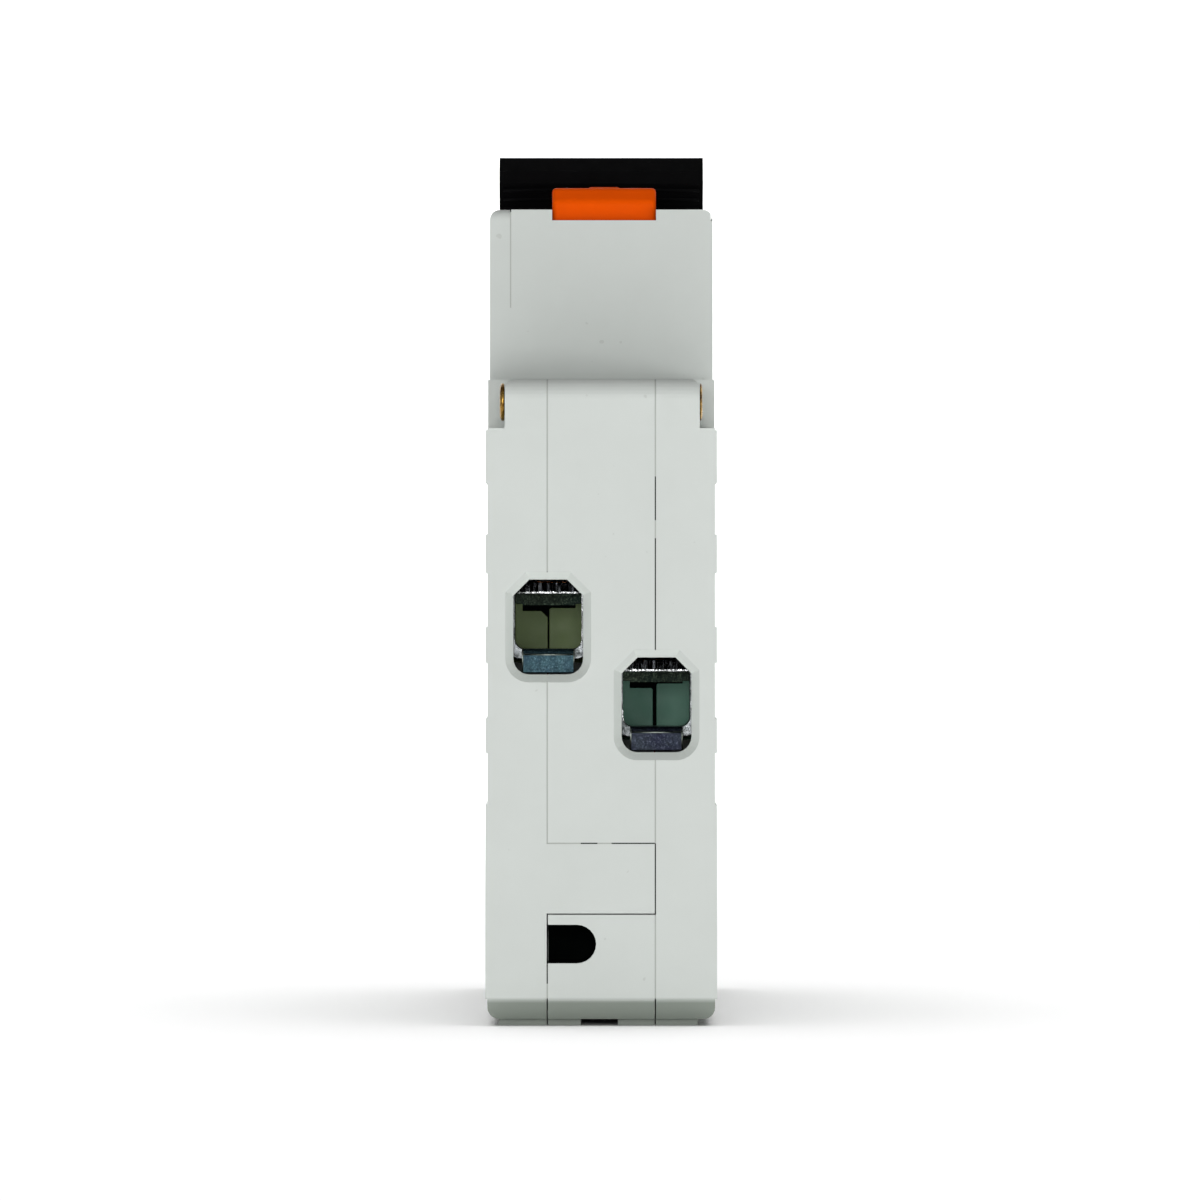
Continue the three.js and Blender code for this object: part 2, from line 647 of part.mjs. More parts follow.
function makeMiddleFrame() {
  const xs = [-frameX + SEAM / 2, frameX - SEAM / 2];
  const shell = cut(layer(xs), [chamber([xs[0] - 1, -webX]), chamber([webX, xs[1] + 1])]);
  const underClip = box([-frameX - 1, frameX + 1], [-endY - 1, -railY], [BACK_Z - 1, CLIP_TOP]);
  const overTongue = box(
    [-frameX - 1, frameX + 1],
    [-endY - 1, -channelEndY],
    [BACK_Z - 1, TONGUE_TOP + SEAM / 2],
  );
  const blocks = TERMINALS.map((t) => terminalPocket(t, xs));
  const bosses = rivetBosses(xs);
  const shelf = box(
    [-frameX, frameX],
    [-noseY + WALL / 2, buttonBack + 1],
    [BUTTON_SHELF_Z - 1, BUTTON_SHELF_Z],
  );
  const guards = toggleGuards([-sideX + NOSE_SEAM_LEFT, innerX - SEAM]);
  const pieces = [shell, noseShell(0), ...blocks, ...bosses, shelf, ...guards];
  const standing = join([...pieces, ...pads([xs[0], -1.6], [1]), ...pads([1.3, xs[1]], [1])]);
  const tools = [
    box([-sideX, innerX - SEAM], [-mouthY, mouthY], [NOSE_Z - WALL - 0.1, NOSE_Z + 1]),
    underClip,
    overTongue,
    buttonWindow(),
    ...webWindows(),
    ...TERMINALS.map(screwHoles),
    ...TERMINALS.map(wireEntry),
    ...rivetHoles(),
    ...roundedEdges(),
  ];
  return cut(standing, tools);
}

function makeRivet(rivet) {
  const [left, right] = rivetSeats(rivet);
  const centre = [rivet.y, rivet.z];
  const clear = 0.03;
  return join([
    cylinder("x", centre, RIVET_RADIUS, [left - clear, right + clear], 16),
    cylinder("x", centre, RIVET_HEAD_RADIUS, [left - clear - RIVET_HEAD, left - clear], 24),
    cylinder("x", centre, RIVET_HEAD_RADIUS, [right + clear, right + clear + RIVET_HEAD / 2], 24),
  ]);
}

// ---------------------------------------------------------------- rail clip

// Face of the peg that the clip's spring pushes from.
function clipPegY() {
  return -endY + 12;
}

function clipRailY() {
  return [-endY + 5.5, -railY - 7];
}

function makeRailClip() {
  const half = frameX - SEAM / 2;
  const top = CLIP_TOP - SEAM / 2;
  const profile = outlineOf([
    [-endY, BACK_Z + BACK_CHAMFER - 0.12],
    [-endY + BACK_CHAMFER - 0.12, BACK_Z],
    [-hookY - 0.8, BACK_Z],
    [-hookY, BACK_Z + 1.4],
    [-hookY, hookZ],
    [-railY - SEAM, hookZ],
    [-railY - SEAM, top],
    [-endY, top],
  ]);
  const [railFrom, railTo] = clipRailY();
  const groove = [railFrom - 0.3, railTo + CLIP_TRAVEL + 0.3];
  const slotEnd = half - CLIP_SLOT_REACH;
  const radius = CLIP_SLOT_WIDTH / 2;
  const slot = new THREE.Shape();
  slot.moveTo(-half - 1, CLIP_SLOT_Z + radius);
  slot.lineTo(-half - 1, CLIP_SLOT_Z - radius);
  slot.absarc(-slotEnd - radius, CLIP_SLOT_Z, radius, -Math.PI / 2, Math.PI / 2, false);
  const springRoom = [clipPegY() - 2, clipPegY() + SPRING_LENGTH + 0.4];
  const body = cut(prism("x", profile, [-half, half]), [
    box([-half - 1, -half + 0.8], groove, [-3.6, -2.2]),
    box([half - 0.8, half + 1], groove, [-3.6, -2.2]),
    prism("y", slot, [-endY - 1, -endY + CLIP_SLOT_DEPTH], 6),
    box([0.45, 3.35], springRoom, [-1.6, top + 1]),
  ]);
  const [near] = PAD_RANGE;
  const padY = [-endY + near, -endY + near + 7];
  const padZ = [BACK_Z - PAD_HEIGHT, BACK_Z + 1];
  return join([body, box([-half, -1.6], padY, padZ), box([1.3, half], padY, padZ)]);
}

function makeClipSpring() {
  const start = [1.9, clipPegY() + GAP, 0.3];
  return coil(start, "y", SPRING_RADIUS, SPRING_LENGTH - GAP, 7, SPRING_WIRE_RADIUS);
}

// ---------------------------------------------------------------- terminals

// In a terminal's own frame the screw stands on the Z axis, z is 0 at the bar's underside, and the
// wire comes in along +Y.
function makeBar(inward) {
  const half = BAR_WIDTH / 2;
  return box([-half, half], [-CAGE_DEPTH / 2 - 0.8, inward], [0, BAR_THICKNESS]);
}

function makeCage() {
  const half = cageWidth / 2;
  const floor = -CAGE_OPENING - 0.8;
  const roof = BAR_THICKNESS + GAP;
  const ys = [-CAGE_DEPTH / 2, CAGE_DEPTH / 2];
  const ring = cut(box([-half, half], ys, [floor, roof + CAGE_ROOF]), [
    box([-half + CAGE_WALL, half - CAGE_WALL], [ys[0] - 1, ys[1] + 1], [-CAGE_OPENING, roof]),
    cylinder("z", [0, 0], SCREW_RADIUS + SCREW_PLAY, [0, roof + CAGE_ROOF + 1]),
  ]);
  const lip = box([-LIP_WIDTH / 2, LIP_WIDTH / 2], [ys[0] - 0.75, ys[0] + 1], [floor - 1.1, floor + 0.8]);
  const round = cylinder("x", [ys[0] + 0.75, floor - 0.7], 0.9, [-LIP_WIDTH, LIP_WIDTH], 16);
  const under = box([-LIP_WIDTH, LIP_WIDTH], [ys[0], ys[0] + 2], [floor - 2, floor]);
  return ring.add(cut(lip, [under, round]));
}

function makeScrew() {
  const bottom = BAR_THICKNESS + GAP / 3;
  const headFrom = wellFloor + SEAM;
  const headTo = headFrom + SCREW_HEAD;
  const slotDepth = 1.2;
  const slot = [headTo - slotDepth, headTo + 1];
  const long = headRadius - 0.5;
  return cut(
    join([
      cylinder("z", [0, 0], SCREW_RADIUS, [bottom, headTo - 0.5]),
      cylinder("z", [0, 0], headRadius, [headFrom, headTo], 24),
    ]),
    [box([-long, long], [-0.5, 0.5], slot), box([-0.5, 0.5], [-long, long], slot)],
  );
}

// ---------------------------------------------------------------- toggle

// In the toggle's own frame the pivot is the X axis and the lever points along +Z.
function makeToggle() {
  const drumX = innerX - GAP;
  const crankX = [-drumX + 1.1, -drumX + 3.4];
  const spread = THREE.MathUtils.degToRad(DRUM_SPREAD);
  const sector = new THREE.Shape();
  sector.absarc(0, 0, DRUM_RADIUS, Math.PI / 2 - spread, Math.PI / 2 + spread, false);
  sector.absarc(0, 0, DRUM_RADIUS - DRUM_WALL, Math.PI / 2 + spread, Math.PI / 2 - spread, true);
  const half = TOGGLE_THICKNESS / 2;
  const wideFrom = (NOSE_Z - TOGGLE_Z + half * Math.sin(lean) + 0.13) / Math.cos(lean);
  const taper = 0.5;
  const lever = outlineOf([
    [-half, 0],
    [half, 0],
    [half, wideFrom],
    [half - taper, TOGGLE_REACH - 0.6],
    [half - taper - 0.8, TOGGLE_REACH],
    [-half + taper + 0.8, TOGGLE_REACH],
    [-half + taper, TOGGLE_REACH - 0.6],
    [-half, wideFrom],
  ]);
  const wide = box([-TOGGLE_WIDTH / 2, TOGGLE_WIDTH / 2], [-half, half], [wideFrom, TOGGLE_REACH]);
  const narrow = prism("x", lever, [-drumX, drumX]).subtract(
    box([-drumX - 1, -drumX + 1.1], [-half - 1, half + 1], [-1, HUB_RADIUS]),
  );
  const grip = prism("x", lever, [-TOGGLE_WIDTH / 2, TOGGLE_WIDTH / 2]).intersect(wide);
  const body = join([
    cylinder("x", [0, 0], HUB_RADIUS, [-drumX + 1.1, drumX], 24),
    prism("x", sector, [-drumX, drumX], 18),
    narrow,
    grip,
    box(crankX, [-1.4, 1.4], [-CRANK_REACH - 1.5, 0]),
  ]);
  return cut(body, [
    cylinder("x", [0, 0], PIN_RADIUS + PIN_PLAY, [-drumX - 1, drumX + 1], 16),
    cylinder("x", [0, -CRANK_REACH], 0.8, [crankX[0] - 1, crankX[1] + 1], 12),
    cylinder("x", [0, 0], HUB_RADIUS - 0.6, [drumX - 3, drumX + 1], 24),
  ]);
}

function makeTogglePin() {
  const reach = innerX - GAP / 2;
  return cylinder("x", [0, TOGGLE_Z], PIN_RADIUS, [-reach, reach], 16);
}

function makeToggleSpring() {
  const from = innerX - GAP - 2.7;
  return coil([from, 0, TOGGLE_Z], "x", 1.9, 2.3, 4, 0.28);
}

function strap([x0, x1], [ay, az], [by, bz], radius) {
  const across = new THREE.Vector2(bz - az, ay - by).normalize().multiplyScalar(radius);
  const band = outlineOf([
    [ay + across.x, az + across.y],
    [ay - across.x, az - across.y],
    [by - across.x, bz - across.y],
    [by + across.x, bz + across.y],
  ].reverse());
  return join([
    prism("x", band, [x0, x1]),
    cylinder("x", [ay, az], radius, [x0, x1], 16),
    cylinder("x", [by, bz], radius, [x0, x1], 16),
  ]);
}

function linkX() {
  return [-innerX + 0.2, -innerX + 0.2 + PLATE];
}

function latchX() {
  return [linkX()[1] + GAP, linkX()[1] + GAP + PLATE];
}

function armX() {
  return [latchX()[1] + GAP, -webX - 2.45];
}

function makeLink() {
  const xs = linkX();
  const pin = cylinder("x", crankPivot, 0.6, [xs[0] + 0.2, xs[1] + 3], 12);
  // The lower end has a slot: it lets the link push the latch but not pull it.
  const length = Math.hypot(crankPivot[0] - latchPivot[0], crankPivot[1] - latchPivot[1]);
  const slotTop = latchPivot.map((at, i) => at + ((crankPivot[i] - at) * LINK_SLOT) / length);
  const slot = strap([xs[0] - 1, xs[1] + 1], latchPivot, slotTop, 0.85);
  return strap(xs, crankPivot, latchPivot, 1.9).subtract(slot).add(pin);
}

function makeLatch() {
  const xs = latchX();
  const plate = strap(xs, [SHAFT_Y, SHAFT_Z], latchPivot, 1.7).subtract(
    cylinder("x", [SHAFT_Y, SHAFT_Z], PIN_RADIUS + PIN_PLAY, [xs[0] - 1, xs[1] + 1], 16),
  );
  return plate.add(cylinder("x", latchPivot, 0.5, [linkX()[0] + 0.1, xs[0] + 0.2], 12));
}

// ---------------------------------------------------------------- contacts

function makeContactArm(xs) {
  const reach = FIXED_CONTACT_Y - 0.8 - GAP - 0.7 - SHAFT_Y;
  const arm = new THREE.Shape();
  arm.moveTo(SHAFT_Y - 1.3, SHAFT_Z);
  arm.lineTo(SHAFT_Y + reach - 1.5, contactZ - 1.6);
  arm.lineTo(SHAFT_Y + reach, contactZ - 1.6);
  arm.lineTo(SHAFT_Y + reach, contactZ + 1.6);
  arm.lineTo(SHAFT_Y + 1.3, SHAFT_Z);
  const middle = (xs[0] + xs[1]) / 2;
  const button = new THREE.CylinderGeometry(CONTACT_RADIUS, CONTACT_RADIUS, 0.9, 16);
  button.translate(middle, SHAFT_Y + reach + 0.25, contactZ);
  const closed = join([
    prism("x", arm, xs),
    cylinder("x", [SHAFT_Y, SHAFT_Z], 1.9, xs, 20),
    solidOf(button),
  ]);
  const bored = closed.subtract(
    cylinder("x", [SHAFT_Y, SHAFT_Z], PIN_RADIUS + PIN_PLAY, [xs[0] - 1, xs[1] + 1], 16),
  );
  // Swung open about the shaft.
  const open = new THREE.Matrix4()
    .makeTranslation(0, SHAFT_Y, SHAFT_Z)
    .multiply(new THREE.Matrix4().makeRotationX(-THREE.MathUtils.degToRad(ARM_SWING)))
    .multiply(new THREE.Matrix4().makeTranslation(0, -SHAFT_Y, -SHAFT_Z));
  return solidOf(geometryOf(bored).applyMatrix4(open));
}

function makeContactShaft() {
  return cylinder("x", [SHAFT_Y, SHAFT_Z], PIN_RADIUS, [-innerX + GAP / 2, boardX - GAP], 16);
}

function contactFace(x, y) {
  const button = new THREE.CylinderGeometry(CONTACT_RADIUS, CONTACT_RADIUS, 0.9, 16);
  button.translate(x, y - 0.35, contactZ);
  return solidOf(button);
}

function makeLineFixedContact() {
  const xs = armX();
  const y = FIXED_CONTACT_Y;
  return join([
    box(xs, [y, y + PLATE], [contactZ - 2, yokeBottom - GAP]),
    contactFace((xs[0] + xs[1]) / 2, y),
  ]);
}

function neutralArmX() {
  return [2.9, 5.1];
}

function makeNeutralFixedContact() {
  const xs = neutralArmX();
  const y = FIXED_CONTACT_Y;
  return join([
    box(xs, [y, y + PLATE], [contactZ - 2, NEUTRAL_BAR_Z + PLATE]),
    box(xs, [y, barInnerY(1) - GAP], [NEUTRAL_BAR_Z, NEUTRAL_BAR_Z + PLATE]),
    contactFace((xs[0] + xs[1]) / 2, y),
  ]);
}

function makeContactSpring() {
  const start = [armX()[1] + 0.4, SHAFT_Y, SHAFT_Z];
  return coil(start, "x", CONTACT_SPRING_RADIUS, 1.5, 3, SPRING_WIRE_RADIUS);
}

// How far a terminal's bar reaches towards the middle of the device.
function barInnerY(end) {
  return end * (screwY - barInward);
}

// ---------------------------------------------------------------- releases and arc chute

function makeCoilBobbin() {
  const x = -poleX;
  const tube = cylinder("y", [x, COIL_Z], bobbinRadius, [COIL_FROM, COIL_TO], 20);
  const flange = (y) => cylinder("y", [x, COIL_Z], coilRadius + 0.2, [y, y + 0.6], 24);
  const bore = cylinder("y", [x, COIL_Z], PLUNGER_RADIUS + 0.15, [COIL_FROM - 1, COIL_TO - 1.5], 20);
  return join([tube, flange(COIL_FROM), flange(COIL_TO - 0.6)]).subtract(bore);
}

function makeTripCoil() {
  const wireRadius = (coilRadius - bobbinRadius - 0.1) / 2;
  const length = COIL_TO - COIL_FROM - 1.2 - 2 * wireRadius - 0.4;
  const from = COIL_FROM + 0.6 + wireRadius + 0.2;
  const start = [-poleX, from, COIL_Z];
  return coil(start, "y", coilRadius - wireRadius, length, COIL_TURNS, wireRadius, 10, 6);
}

function makeCoilYoke() {
  const xs = [-poleX - poleWidth / 2 + YOKE_PLAY, -poleX + poleWidth / 2 - YOKE_PLAY];
  const top = COIL_Z + coilRadius + 0.6;
  const bore = cylinder("y", [-poleX, COIL_Z], PLUNGER_RADIUS + 0.3, [COIL_FROM - 3, COIL_FROM + 1], 20);
  return join([
    box(xs, [COIL_FROM - GAP / 3 - 0.9, COIL_TO + GAP / 3 + 0.9], [top, top + 0.9]),
    box(xs, [COIL_FROM - GAP / 3 - 0.9, COIL_FROM - GAP / 3], [yokeBottom, top + 0.9]),
    box(xs, [COIL_TO + GAP / 3, COIL_TO + GAP / 3 + 0.9], [yokeBottom, top + 0.9]),
  ]).subtract(bore);
}

function makeCoilPlunger() {
  return cylinder("y", [-poleX, COIL_Z], PLUNGER_RADIUS, [3.1, COIL_FROM + 6], 16);
}

// A strip of sheet metal that follows a bent line in the (y, z) plane, square at its corners.
function bentStrip(xs, points) {
  const half = PLATE / 2;
  const pieces = points.slice(1).map(([y1, z1], i) => {
    const [y0, z0] = points[i];
    const ys = [Math.min(y0, y1) - half, Math.max(y0, y1) + half];
    const zs = [Math.min(z0, z1) - half, Math.max(z0, z1) + half];
    return box(xs, ys, zs);
  });
  return join(pieces);
}

function makeLoadStrip() {
  const z = LINE_BAR_Z + BAR_THICKNESS / 2;
  const start = barInnerY(-1) + GAP + PLATE / 2;
  const foot = BIMETAL_Z - 0.6;
  const drop = start + 2;
  return bentStrip(stripX, [[start, z], [drop, z], [drop, foot], [BIMETAL_Y - GAP - PLATE / 2, foot]]);
}

function makeBimetal() {
  return box(
    [stripX[0] + 0.3, stripX[1] - 0.3],
    [BIMETAL_Y, BIMETAL_Y + 0.9],
    [BIMETAL_Z - 1, BIMETAL_Z + BIMETAL_LENGTH],
  );
}

function makeSupplyStrip() {
  const z = LINE_BAR_Z + BAR_THICKNESS / 2;
  const start = barInnerY(1) - GAP - PLATE / 2;
  const end = COIL_TO + GAP / 3 + 0.9 + GAP + PLATE / 2;
  return bentStrip(stripX, [[start, z], [end, z], [end, COIL_Z]]);
}

// The trip lever turns on a pin in the frame; its cross bar reaches through the partition.
function makeTripLever() {
  const xs = [-webX - 0.4 - 1.2, -webX - 0.4];
  const tipY = -0.2;
  const shape = outlineOf([
    [BIMETAL_Y + 2.2, TRIP_Z + 3.2],
    [BIMETAL_Y + 2.2, TRIP_Z - 0.9],
    [tipY - 1.3, TRIP_Z - 0.9],
    [tipY - 1.3, COIL_Z - 1.2],
    [tipY + 0.5, COIL_Z - 1.2],
    [tipY + 0.5, TRIP_Z + 0.9],
    [BIMETAL_Y + 3.4, TRIP_Z + 0.9],
    [BIMETAL_Y + 3.4, TRIP_Z + 3.2],
  ]);
  const plate = join([prism("x", shape, xs), cylinder("x", [TRIP_Y, TRIP_Z], 1.9, xs, 16)]);
  const tab = box([-poleX, xs[1]], [BIMETAL_Y + 2.2, BIMETAL_Y + 3.4], [TRIP_Z + 2, TRIP_Z + 3.2]);
  const bar = cylinder("x", [tipY - 0.4, COIL_Z], 0.7, [latchX()[1] + 0.8, relayX + 0.7], 12);
  const bored = plate.subtract(cylinder("x", [TRIP_Y, TRIP_Z], 0.8, [xs[0] - 1, xs[1] + 1], 12));
  return join([bored, tab, bar]);
}

function makeTripPin() {
  return cylinder("x", [TRIP_Y, TRIP_Z], 0.7, [-innerX + GAP / 2, -webX - GAP / 3], 12);
}

function makeBraid() {
  const x = (armX()[0] + armX()[1]) / 2;
  const curve = new THREE.CatmullRomCurve3([
    new THREE.Vector3(x, SHAFT_Y - 2.2, SHAFT_Z - 8),
    new THREE.Vector3(x, SHAFT_Y - 4.6, SHAFT_Z - 9.2),
    new THREE.Vector3(x, (SHAFT_Y + BIMETAL_Y) / 2, SHAFT_Z - 7),
    new THREE.Vector3(x, BIMETAL_Y + 4.6, SHAFT_Z - 1),
    new THREE.Vector3(x, BIMETAL_Y + 1.5, SHAFT_Z + 1),
  ]);
  return wire(curve, 0.8, 20, 8);
}

function makeArcChute() {
  const xs = [-innerX + GAP, -webX - GAP];
  const card = 0.6;
  const floor = WALL + PLATE + 2 * GAP;
  const pitch = (CHUTE_TOP - floor) / CHUTE_PLATES;
  const ys = [CHUTE_FROM, CHUTE_TO];
  const cards = [
    box([xs[0], xs[0] + card], ys, [floor, CHUTE_TOP]),
    box([xs[1] - card, xs[1]], ys, [floor, CHUTE_TOP]),
  ];
  const plates = Array.from({ length: CHUTE_PLATES }, (_, i) => {
    const z = floor + (i + 0.5) * pitch;
    const notch = outlineOf([[-poleX - 1.1, ys[0] - 1], [-poleX + 1.1, ys[0] - 1], [-poleX, ys[0] + 4]]);
    const plate = box([xs[0] + card / 2, xs[1] - card / 2], ys, [z - 0.4, z + 0.4]);
    return plate.subtract(prism("z", notch, [z - 1, z + 1]));
  });
  return join([...cards, ...plates]);
}

function makeArcRunner() {
  return box(stripX, [2, CHUTE_TO + 1], [WALL + GAP, WALL + GAP + PLATE]);
}

// ---------------------------------------------------------------- electronics

function makeToroid() {
  const [near, far] = [webX + 1.6, innerX - 1.55];
  const thickness = far - near;
  const profile = [
    [TOROID_BORE, 0],
    [TOROID_RADIUS, 0],
    [TOROID_RADIUS, thickness],
    [TOROID_BORE, thickness],
    [TOROID_BORE, 0],
  ].map(([r, h]) => new THREE.Vector2(r, h));
  const ring = new THREE.LatheGeometry(profile, 28);
  ring.rotateZ(-Math.PI / 2);
  ring.translate(near, TOROID_Y, TOROID_Z);
  return solidOf(ring);
}

function makeSensorLead() {
  const start = barInnerY(-1);
  const curve = new THREE.CatmullRomCurve3([
    new THREE.Vector3(poleX + 0.1, start + 0.9, NEUTRAL_BAR_Z + 0.4),
    new THREE.Vector3(poleX - 0.7, start + 4, NEUTRAL_BAR_Z - 2),
    new THREE.Vector3(webX + 0.9, TOROID_Y - 6, TOROID_Z + 5),
    new THREE.Vector3(webX + 0.75, TOROID_Y - 2, TOROID_Z + 1.4),
    new THREE.Vector3(webX + 1.8, TOROID_Y, TOROID_Z),
    new THREE.Vector3(innerX - 1.75, TOROID_Y, TOROID_Z),
    new THREE.Vector3(innerX - 0.85, TOROID_Y + 1.6, TOROID_Z + 1.4),
    new THREE.Vector3(innerX - 0.95, TOROID_Y + 3.4, TOROID_Z + 6),
    new THREE.Vector3(innerX - 2.65, TOROID_Y + 3.6, TOROID_Z + 10),
  ]);
  return wire(curve, 0.6, 32, 8);
}

function makeBoard() {
  return box([boardX, boardX + BOARD_THICKNESS], [-27.5, 24], [24.2, SHOULDER_Z - WALL - 3.2]);
}

function makeCapacitor() {
  const x = againstBoard - 2.3;
  return cylinder("y", [x, 37], 2.2, [-27, -17], 24);
}

function makeVaristor() {
  return cylinder("x", [-12.4, 37], 2.9, [againstBoard - 2.2, againstBoard], 24);
}

function makeThyristor() {
  return box([againstBoard - 2.2, againstBoard], [-25, -20.5], [26, 31.5]);
}

function makeTestResistor() {
  return cylinder("z", [againstBoard - 1.2, -15.4], 1.1, [25.5, 32.5], 16);
}

function makeTestContact() {
  const xs = [BUTTON_X + BUTTON_WIDTH / 2 + GAP, BUTTON_X + BUTTON_WIDTH / 2 + 1.9];
  const y = -noseY + WALL + 1;
  return join([
    box(xs, [y, y + 4.5], [53.3, 53.6]),
    box(xs, [y + 4.2, y + 4.5], [SHOULDER_Z - 2.8, 53.6]),
  ]);
}

function makeRelayBobbin() {
  const bore = cylinder("y", [relayX, COIL_Z], 1.15, [8, 19], 16);
  return join([
    cylinder("y", [relayX, COIL_Z], 1.7, [9, 20.5], 20),
    cylinder("y", [relayX, COIL_Z], 2.5, [9, 9.6], 24),
    cylinder("y", [relayX, COIL_Z], 2.5, [19.9, 20.5], 24),
  ]).subtract(bore);
}

function makeRelayWinding() {
  const outer = cylinder("y", [relayX, COIL_Z], 2.35, [9.8, 19.7], 24);
  return outer.subtract(cylinder("y", [relayX, COIL_Z], 1.85, [9, 21], 24));
}

function makeRelayYoke() {
  const xs = [relayX - RELAY_WIDTH / 2, relayX + RELAY_WIDTH / 2];
  const bore = cylinder("y", [relayX, COIL_Z], 1.3, [7, 10], 16);
  return join([
    box(xs, [8, 21.5], [COIL_Z + 2.8, COIL_Z + 3.6]),
    box(xs, [8, 8.8], [COIL_Z - 2.2, COIL_Z + 3.6]),
    box(xs, [20.7, 21.5], [COIL_Z - 2.2, COIL_Z + 3.6]),
  ]).subtract(bore);
}

function makeRelayPlunger() {
  return cylinder("y", [relayX, COIL_Z], 0.95, [2.9, 15], 16);
}

// ---------------------------------------------------------------- test button

function makeTestButton() {
  const half = BUTTON_WIDTH / 2;
  const xs = [BUTTON_X - half, BUTTON_X + half];
  const ys = [buttonFront, buttonBack];
  const cap = outlineOf([
    [ys[0], 50.5],
    [ys[1], 50.5],
    [ys[1], BUTTON_TOP - 0.5],
    [ys[1] - 0.5, BUTTON_TOP],
    [ys[0] + 1.1, BUTTON_TOP],
    [ys[0], BUTTON_TOP - 1.1],
  ]);
  const flangeTop = NOSE_Z - WALL - SEAM;
  const flange = box([xs[0] - 0.7, xs[1] + 0.9], [ys[0] + 0.9, ys[1]], [flangeTop - 1, flangeTop]);
  const peg = cylinder("z", [BUTTON_X, (ys[0] + ys[1]) / 2], 0.8, [BUTTON_SHELF_Z + 1.5, 51], 12);
  const tabX = [BUTTON_X - 1.35, BUTTON_X + 1.35];
  const tab = box(tabX, [ys[1] - 2.2, ys[1] - 0.8], [BUTTON_TOP - 1, BUTTON_TOP + 0.2]);
  return join([prism("x", cap, xs), flange, peg, tab]);
}

function makeTestSpring() {
  const y = (buttonFront + buttonBack) / 2;
  const length = 50.5 - BUTTON_SHELF_Z;
  const start = [BUTTON_X, y, BUTTON_SHELF_Z + GAP + 0.1];
  return coil(start, "z", 1.5, length - 2 * GAP - 0.2, 4, SPRING_WIRE_RADIUS);
}

// ---------------------------------------------------------------- assembly

const breaker = new THREE.Group();

function add(parent, name, solid, look) {
  const mesh = new THREE.Mesh(geometryOf(solid), new THREE.MeshStandardMaterial(colours[look]));
  mesh.name = name;
  parent.add(mesh);
  return mesh;
}

add(breaker, "left_cover", makeLeftCover(), "housing");
add(breaker, "middle_frame", makeMiddleFrame(), "housing");
add(breaker, "right_cover", makeRightCover(), "housing");
RIVETS.forEach((rivet) => add(breaker, rivet.name, makeRivet(rivet), "brass"));

add(breaker, "rail_clip", makeRailClip(), "housing");
add(breaker, "clip_spring", makeClipSpring(), "steel");

TERMINALS.forEach(({ name, x, end, z }) => {
  const terminal = new THREE.Group();
  terminal.position.set(x, end * screwY, z);
  terminal.rotation.z = end < 0 ? 0 : Math.PI;
  add(terminal, name + "_bar", makeBar(barInward), "zinc");
  add(terminal, name + "_cage", makeCage(), "zinc");
  add(terminal, name + "_screw", makeScrew(), "steel");
  breaker.add(terminal);
});

const toggle = new THREE.Group();
toggle.position.z = TOGGLE_Z;
toggle.rotation.x = lean;
add(toggle, "toggle_handle", makeToggle(), "black");
breaker.add(toggle);
add(breaker, "toggle_pin", makeTogglePin(), "steel");
add(breaker, "toggle_spring", makeToggleSpring(), "steel");
add(breaker, "toggle_link", makeLink(), "steel");
add(breaker, "latch_lever", makeLatch(), "steel");

add(breaker, "contact_shaft", makeContactShaft(), "steel");
add(breaker, "line_contact_arm", makeContactArm(armX()), "copper");
add(breaker, "line_fixed_contact", makeLineFixedContact(), "copper");
add(breaker, "contact_spring", makeContactSpring(), "steel");
add(breaker, "neutral_contact_arm", makeContactArm(neutralArmX()), "copper");
add(breaker, "neutral_fixed_contact", makeNeutralFixedContact(), "copper");
add(breaker, "contact_braid", makeBraid(), "copper");

add(breaker, "trip_coil", makeTripCoil(), "copper");
add(breaker, "coil_bobbin", makeCoilBobbin(), "black");
add(breaker, "coil_yoke", makeCoilYoke(), "zinc");
add(breaker, "coil_plunger", makeCoilPlunger(), "steel");
add(breaker, "bimetal_strip", makeBimetal(), "copper");
add(breaker, "load_strip", makeLoadStrip(), "copper");
add(breaker, "supply_strip", makeSupplyStrip(), "copper");
add(breaker, "trip_lever", makeTripLever(), "inner");
add(breaker, "trip_pin", makeTripPin(), "steel");
add(breaker, "arc_chute", makeArcChute(), "zinc");
add(breaker, "arc_runner", makeArcRunner(), "copper");

add(breaker, "current_transformer", makeToroid(), "ferrite");
add(breaker, "sensor_lead", makeSensorLead(), "blue");
add(breaker, "circuit_board", makeBoard(), "board");
add(breaker, "capacitor", makeCapacitor(), "ferrite");
add(breaker, "varistor", makeVaristor(), "blue");
add(breaker, "thyristor", makeThyristor(), "black");
add(breaker, "test_resistor", makeTestResistor(), "inner");
add(breaker, "test_contact", makeTestContact(), "brass");
add(breaker, "relay_bobbin", makeRelayBobbin(), "black");
add(breaker, "relay_winding", makeRelayWinding(), "copper");
add(breaker, "relay_yoke", makeRelayYoke(), "zinc");
add(breaker, "relay_plunger", makeRelayPlunger(), "steel");

add(breaker, "test_button", makeTestButton(), "orange");
add(breaker, "test_spring", makeTestSpring(), "steel");

export default breaker;
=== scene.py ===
"""Looks of a one-module residual-current breaker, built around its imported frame.

Metres in the end, millimetres in the helpers, in the frame's own axes: X across the module, Y from
the load end to the supply end, Z from the rail to the toggle. The camera looks at the load end.
"""
import json
import math
import random

import bmesh
import bpy
from mathutils import Matrix, Vector


